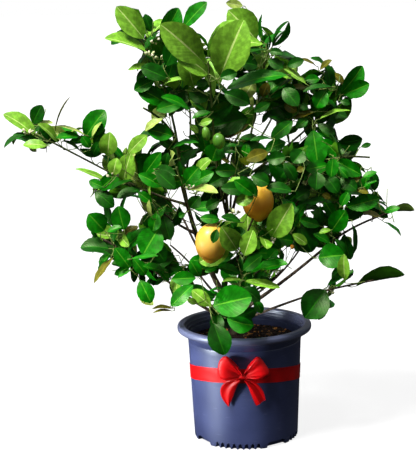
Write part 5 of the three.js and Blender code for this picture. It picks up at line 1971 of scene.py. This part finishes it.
def build_soil():
    """The mix as a closed body; returns the place where chips are strewn, its top alone."""
    earth = soil_finish()
    rings, segments = 40, 120
    ground = add_piece("chip_ground", *soil_top(rings, segments, CHIP_REACH), [earth])
    points, faces = soil_top(rings, segments, SOIL_RADIUS)
    foot_radius = POT_BASE_RADIUS - POT_WALL - GAP
    foot_height = BASE_THICK + GAP
    points += [(x * foot_radius / SOIL_RADIUS, y * foot_radius / SOIL_RADIUS, foot_height)
               for x, y, _ in points[-segments:]]
    points.append((0, 0, foot_height))
    edge, foot = 1 + (rings - 1) * segments, 1 + rings * segments
    for k in range(segments):
        after = (k + 1) % segments
        faces.append((edge + k, foot + k, foot + after, edge + after))
        faces.append((foot + k, len(points) - 1, foot + after))
    settle(add_piece("potting_mix_top", points, faces, [earth], sharp=60), "mix", "potting_mix")
    return ground


def chip_tree():
    """Bark chips strewn over the top of the mix by Geometry Nodes."""
    tree = GeometryTree("bark_chips", Object="Chip", Float="Count Smallest Largest", Int="Seed",
                        Material="Finish")
    seed = tree.input("Seed")
    ground = {"Mesh": tree.input("Geometry"), "Density": tree.input("Count"), "Seed": seed}
    strewn = tree.node("GeometryNodeDistributePointsOnFaces", None, ground, "Points")
    chip = tree.node("GeometryNodeObjectInfo", None, {"Object": tree.input("Chip")}, "Geometry")
    turn = tree.node("FunctionNodeRandomValue", {"data_type": "FLOAT_VECTOR"},
                     {0: (-0.5, -0.5, 0.0), 1: (0.5, 0.5, 6.28), 8: seed})
    size = tree.node("FunctionNodeRandomValue", {"data_type": "FLOAT"},
                     {2: tree.input("Smallest"), 3: tree.input("Largest"), 8: 5}, 1)
    laid = tree.node("GeometryNodeInstanceOnPoints", None,
                     {"Points": strewn, "Instance": chip, "Rotation": turn, "Scale": size})
    tree.end(laid, tree.input("Finish"))
    return tree


def chip_shape(name, width, thick, finish, seed):
    """One splintered flake of bark, about a metre long, to be scaled where it is strewn."""
    random = seeded_random(seed)
    points = []
    for level, inset in ((0.0, 0.82), (0.45, 1.0), (1.0, 0.74)):
        for angle in np.arange(CHIP_SIDES) / CHIP_SIDES * 2 * math.pi:
            reach = (0.78 + 0.4 * next(random)) * inset / 2
            height = (level - 0.3) * thick * (0.7 + 0.6 * next(random))
            points.append((math.cos(angle) * reach, math.sin(angle) * width * reach, height))
    return add_piece(name, np.array(points) / MM, ring_faces(3, CHIP_SIDES), [finish])


def build_chips(ground):
    tree = chip_tree()
    for name, width, thick, low, high, count, smallest, largest, seed in CHIP_KINDS:
        finish = chip_finish(name, low, high)
        chip = chip_shape(f"{name}_one", width, thick, finish, seed)
        made = tree.made_on(ground, name, {"Chip": chip, "Count": count, "Smallest": smallest,
                                           "Largest": largest, "Seed": seed, "Finish": finish})
        bpy.data.objects.remove(chip)
        settle(made, "mix")
    bpy.data.objects.remove(ground)


# Ribbon and bow

RIBBON_WIDTH = 30
RIBBON_THICK = 0.7
RIBBON_HEIGHT = 136
RIBBON_TILT = 10.3
RIBBON_REACH = 115
RIBBON_LIFT = 1.5
RIBBON_SIDE_TILT = 2.0
KNOT = np.array((-5, -125, 160))
KNOT_SIZE = np.array((10.0, 5.2, 4.8))
SATIN_REDS = (160, 2, 5), (196, 4, 10)


def satin_finish():
    """Red satin: close cross threads, a soft sheen and slightly darker folds."""
    finish = Finish("ribbon_satin", specular_ior_level=0.22)
    threads = finish.noise(1, 2, finish.stretched((300, 300, 2600)))
    clouds = finish.noise(22, 3)
    return finish.shade(
        base_color=finish.mottled(clouds, 0.3, 0.72, *SATIN_REDS),
        roughness=threads * 0.12 + 0.38,
        normal=finish.bump(threads, 0.15, 0.0003),
    )


def strip_faces(count, across, closed=False):
    """Faces of a strip of cloth, its upper points first; a closed one is a band whose ends meet."""
    back = count * across
    faces = []
    for i in range(count if closed else count - 1):
        here, ahead = i * across, (i + 1) % count * across
        for j in range(across - 1):
            a, b, c, d = here + j, ahead + j, ahead + j + 1, here + j + 1
            faces += [(a, b, c, d), (back + d, back + c, back + b, back + a)]
        far, ahead_far = here + across - 1, ahead + across - 1
        faces += [(here, back + here, back + ahead, ahead), (far, ahead_far, back + ahead_far, back + far)]
    if not closed:
        last = back - across
        for j in range(across - 1):
            faces.append((j, j + 1, back + j + 1, back + j))
            faces.append((last + j + 1, last + j, back + last + j, back + last + j + 1))
    return faces


def cloth_strip(rows, thick):
    """Points and faces of a strip of cloth from rows of points across it, in order along its length."""
    rows = np.array(rows, float)
    out = np.cross(np.gradient(rows, axis=0), np.gradient(rows, axis=1))
    out /= np.maximum(np.linalg.norm(out, axis=-1, keepdims=True), 1e-9)
    points = np.concatenate((rows + out * thick / 2, rows - out * thick / 2)).reshape(-1, 3)
    return points, strip_faces(*rows.shape[:2])


def build_band(satin):
    """The ribbon round the pot, higher in front, with soft creases that run from the bow."""
    segments, across = 240, 9
    slope = math.tan(math.radians(RIBBON_TILT))
    outer, inner = [], []
    for i in range(segments):
        angle = i / segments * 2 * math.pi
        right, back = math.sin(angle), -math.cos(angle)
        for j in range(across):
            share = j / (across - 1) - 0.5
            z = RIBBON_HEIGHT + RIBBON_LIFT + share * RIBBON_WIDTH - slope * back * RIBBON_REACH
            z -= right * RIBBON_SIDE_TILT
            radius = pot_wall(z) + 1.0 + 0.5 * noise.noise(Vector((right * 3.2, back * -3.2, share * 5)))
            outer.append((right * radius, back * radius, z))
            inner.append((right * (radius - RIBBON_THICK), back * (radius - RIBBON_THICK), z))
    faces = strip_faces(segments, across, closed=True)
    settle(add_piece("ribbon_round_pot", outer + inner, faces, [satin], sharp=50), "ribbon", "ribbon_band")


# The outline of the bow's ears, from the upper edge down: degrees round the knot, and millimetres from it
EARS = {
    "left": ((107, 9), (113, 20), (119, 35), (126, 53), (133, 57), (142, 57), (155, 54), (170, 50), (181, 47),
             (190, 36), (198, 10)),
    "right": ((68, 9), (63, 20), (59, 35), (55, 49), (50, 53), (40, 52), (28, 52), (14, 54), (4, 54),
              (-5, 42), (-13, 12)),
}
EAR_DEPTH = 8
EAR_BELLY = 5.5
EAR_PLEATS = 2.3
BOW_CLEARANCE = -119.5

# The bow's tails: the outer and the inner edge as cubic curves, in millimetres across and up from the knot
TAILS = {
    "left": (((-9, -4), (-48, -6), (-58, -38), (-30, -65)), ((-4, -7), (-13, -18), (-19, -36), (-28, -63))),
    "right": (((5, -4), (30, -8), (42, -28), (45, -52)), ((3, -7), (12, -18), (14, -38), (26, -64))),
}
TAIL_LIFT = 4
TAIL_FOLDS = 1.7


def ear_rows(outline):
    """An ear of the bow: out from the knot along the front in pleats, round its edge, and back behind."""
    angles, reaches = np.array(outline, float).T
    marks = np.linspace(0, 1, len(outline))
    share = np.linspace(0, 1, 33)
    angle = np.radians(np.interp(share, marks, angles))
    reach = np.interp(share, marks, reaches)
    crease = np.cos(share * 5.2 * math.pi + 0.6) + 0.4 * np.cos(share * 13 * math.pi)
    crown_line = np.clip(np.sin(math.pi * share), 0, 1) ** 0.8
    rows = []
    for turn in np.linspace(0, math.pi, 45):
        out = abs(math.sin(turn)) ** 0.7
        radius = reach * (0.12 + 0.88 * out)
        fold = EAR_PLEATS * crease * math.exp(-out * 0.9) * out ** 0.5
        swell = EAR_DEPTH * min(1, 0.3 + out) + EAR_BELLY * out * crown_line + fold
        y = np.minimum(KNOT[1] - swell * math.cos(turn), BOW_CLEARANCE)
        rows.append(np.stack((KNOT[0] + radius * np.cos(angle), y, KNOT[2] + radius * np.sin(angle)), 1))
    return rows if angles[0] < angles[-1] else rows[::-1]


def cubic(points, share):
    """A point of a cubic curve from its four control points."""
    rest = 1 - share
    weights = (rest ** 3, 3 * rest ** 2 * share, 3 * rest * share ** 2, share ** 3)
    return np.array(weights) @ np.array(points, float)


def tail_rows(outer, inner):
    """A tail of the bow between its two edges, hanging close to the pot, with soft folds down it."""
    place = np.linspace(0, 1, 15)
    rows = []
    for share in np.linspace(0, 1, 31):
        edge, other_edge = cubic(outer, share)[:, None], cubic(inner, share)[:, None]
        x, z = edge * (1 - place) + other_edge * place + KNOT[[0, 2], None]
        wall = -np.sqrt((pot_wall(z) + TAIL_LIFT) ** 2 - x * x)
        fold = TAIL_FOLDS * np.sin(place * 3 * math.pi + share * 2) * (1 - 0.4 * share)
        rows.append(np.stack((x, wall - 3 - 7 * (1 - share) - fold, z), 1))
    return rows if outer[0][0] < 0 else rows[::-1]


def knot_shape():
    """Points and faces of the knot: a squashed cushion of ribbon, pinched by three folds."""
    turns = np.linspace(0, math.pi, 20)
    points, faces = turned((np.sin(turns), np.cos(turns)), 32, axis=(1, 0.02, 0.01))
    fold = 1 + 0.07 * np.sin(points[:, 2] * 9 + 0.6) * (1 - np.abs(points[:, 0]))
    return KNOT + points * KNOT_SIZE * fold[:, None], faces


def build_bow():
    satin = satin_finish()
    build_band(satin)
    strips = {f"bow_loop_{name}": ear_rows(ear) for name, ear in EARS.items()}
    strips |= {f"bow_tail_{name}": tail_rows(*edges) for name, edges in TAILS.items()}
    for name, rows in strips.items():
        body = cloth_strip(rows, RIBBON_THICK)
        settle(add_piece(f"{name}_satin", *body, [satin], sharp=60), "ribbon", name)
    settle(add_piece("bow_knot_satin", *knot_shape(), [satin]), "ribbon", "bow_knot")


# Stage, light and camera

SENSOR = 36
FLOOR_HALF = 60000
FLOOR_LEVEL = -0.5

# Lamps, in metres and degrees: how strong they are, where they aim and how soft their light is
SUN = {"energy": 5.8, "aim": (0.42, 0.42, -0.95), "angle": math.radians(16)}
SOFTBOX = {
    "energy": 1.6, "aim": (1.15, 0.55, -0.01), "place": (-1.15, -0.55, 0.1),
    "shape": "RECTANGLE", "size": 0.3, "size_y": 0.5, "spread": math.radians(24),
}


def build_camera(view):
    """The photo's camera, turned as its view of the crown is."""
    lens = bpy.data.cameras.new("photo_lens")
    lens.sensor_fit = "VERTICAL"
    lens.sensor_height = SENSOR
    lens.lens = FOCAL_PIXELS / PHOTO_SIZE[1] * SENSOR
    lens.clip_end = 400
    camera = add_object("photo_camera", lens)
    rotation = Matrix((view.right, view.up, -view.forward)).transposed().to_4x4()
    camera.matrix_world = Matrix.Translation(Vector(CAMERA_PLACE) * MM) @ rotation
    bpy.context.scene.camera = camera


def build_floor():
    """A pale sheet so large that its edge is never seen."""
    finish = Finish("floor_paper", base_color=(0.2, 0.2, 0.2, 1), roughness=1.0, specular_ior_level=0.0,
                    emission_color=(1, 1, 1, 1), emission_strength=0.84)
    finish.shade(roughness=finish.noise(3, 2) * 0.05 + 0.95)
    corners = [(x * FLOOR_HALF, y * FLOOR_HALF, FLOOR_LEVEL) for x, y in ((-1, -1), (1, -1), (1, 1), (-1, 1))]
    floor = add_piece("pale_floor", corners, [(0, 1, 2, 3)], [finish.material])
    floor.visible_diffuse = False
    floor.visible_glossy = False


def add_lamp(name, kind, energy, aim, place=(0, 0, 0), **settings):
    """A lamp at a place in metres that shines along a direction."""
    lamp = bpy.data.lights.new(name, kind)
    lamp.energy = energy
    for key, value in settings.items():
        setattr(lamp, key, value)
    stand = add_object(name, lamp)
    stand.location = place
    stand.rotation_euler = Vector(aim).to_track_quat("-Z", "Y").to_euler()


def build_light():
    """An even sky that the camera sees as white, a soft sun, and a softbox low on the left."""
    scene = bpy.context.scene
    scene.view_settings.view_transform = "Standard"
    scene.world = bpy.data.worlds.new("studio")
    scene.world.use_nodes = True
    sky = Wiring(scene.world.node_tree)
    background = sky.tree.nodes["Background"]
    direction = sky.node("ShaderNodeTexCoord", outlet="Generated")
    height = sky.node("ShaderNodeSeparateXYZ", None, {"Vector": direction}, "Z")
    seen = sky.node("ShaderNodeLightPath", outlet="Is Camera Ray")
    lit = height.ramp(-0.2, 0.9) * 0.52 + 0.03
    sky.feed(background.inputs["Strength"], lit * (1 - seen) + seen)
    sky.feed(background.inputs["Color"], (1.0, 1.0, 1.0, 1.0))
    add_lamp("key", "SUN", **SUN)
    add_lamp("softbox_left", "AREA", **SOFTBOX)


build_floor()
build_light()
crown = Crown()
build_camera(crown.photo)
build_limbs(crown)
build_twigs(crown)
build_leaves(crown)
build_fruit(crown)
build_buds(crown)
build_pot()
build_chips(build_soil())
build_bow()
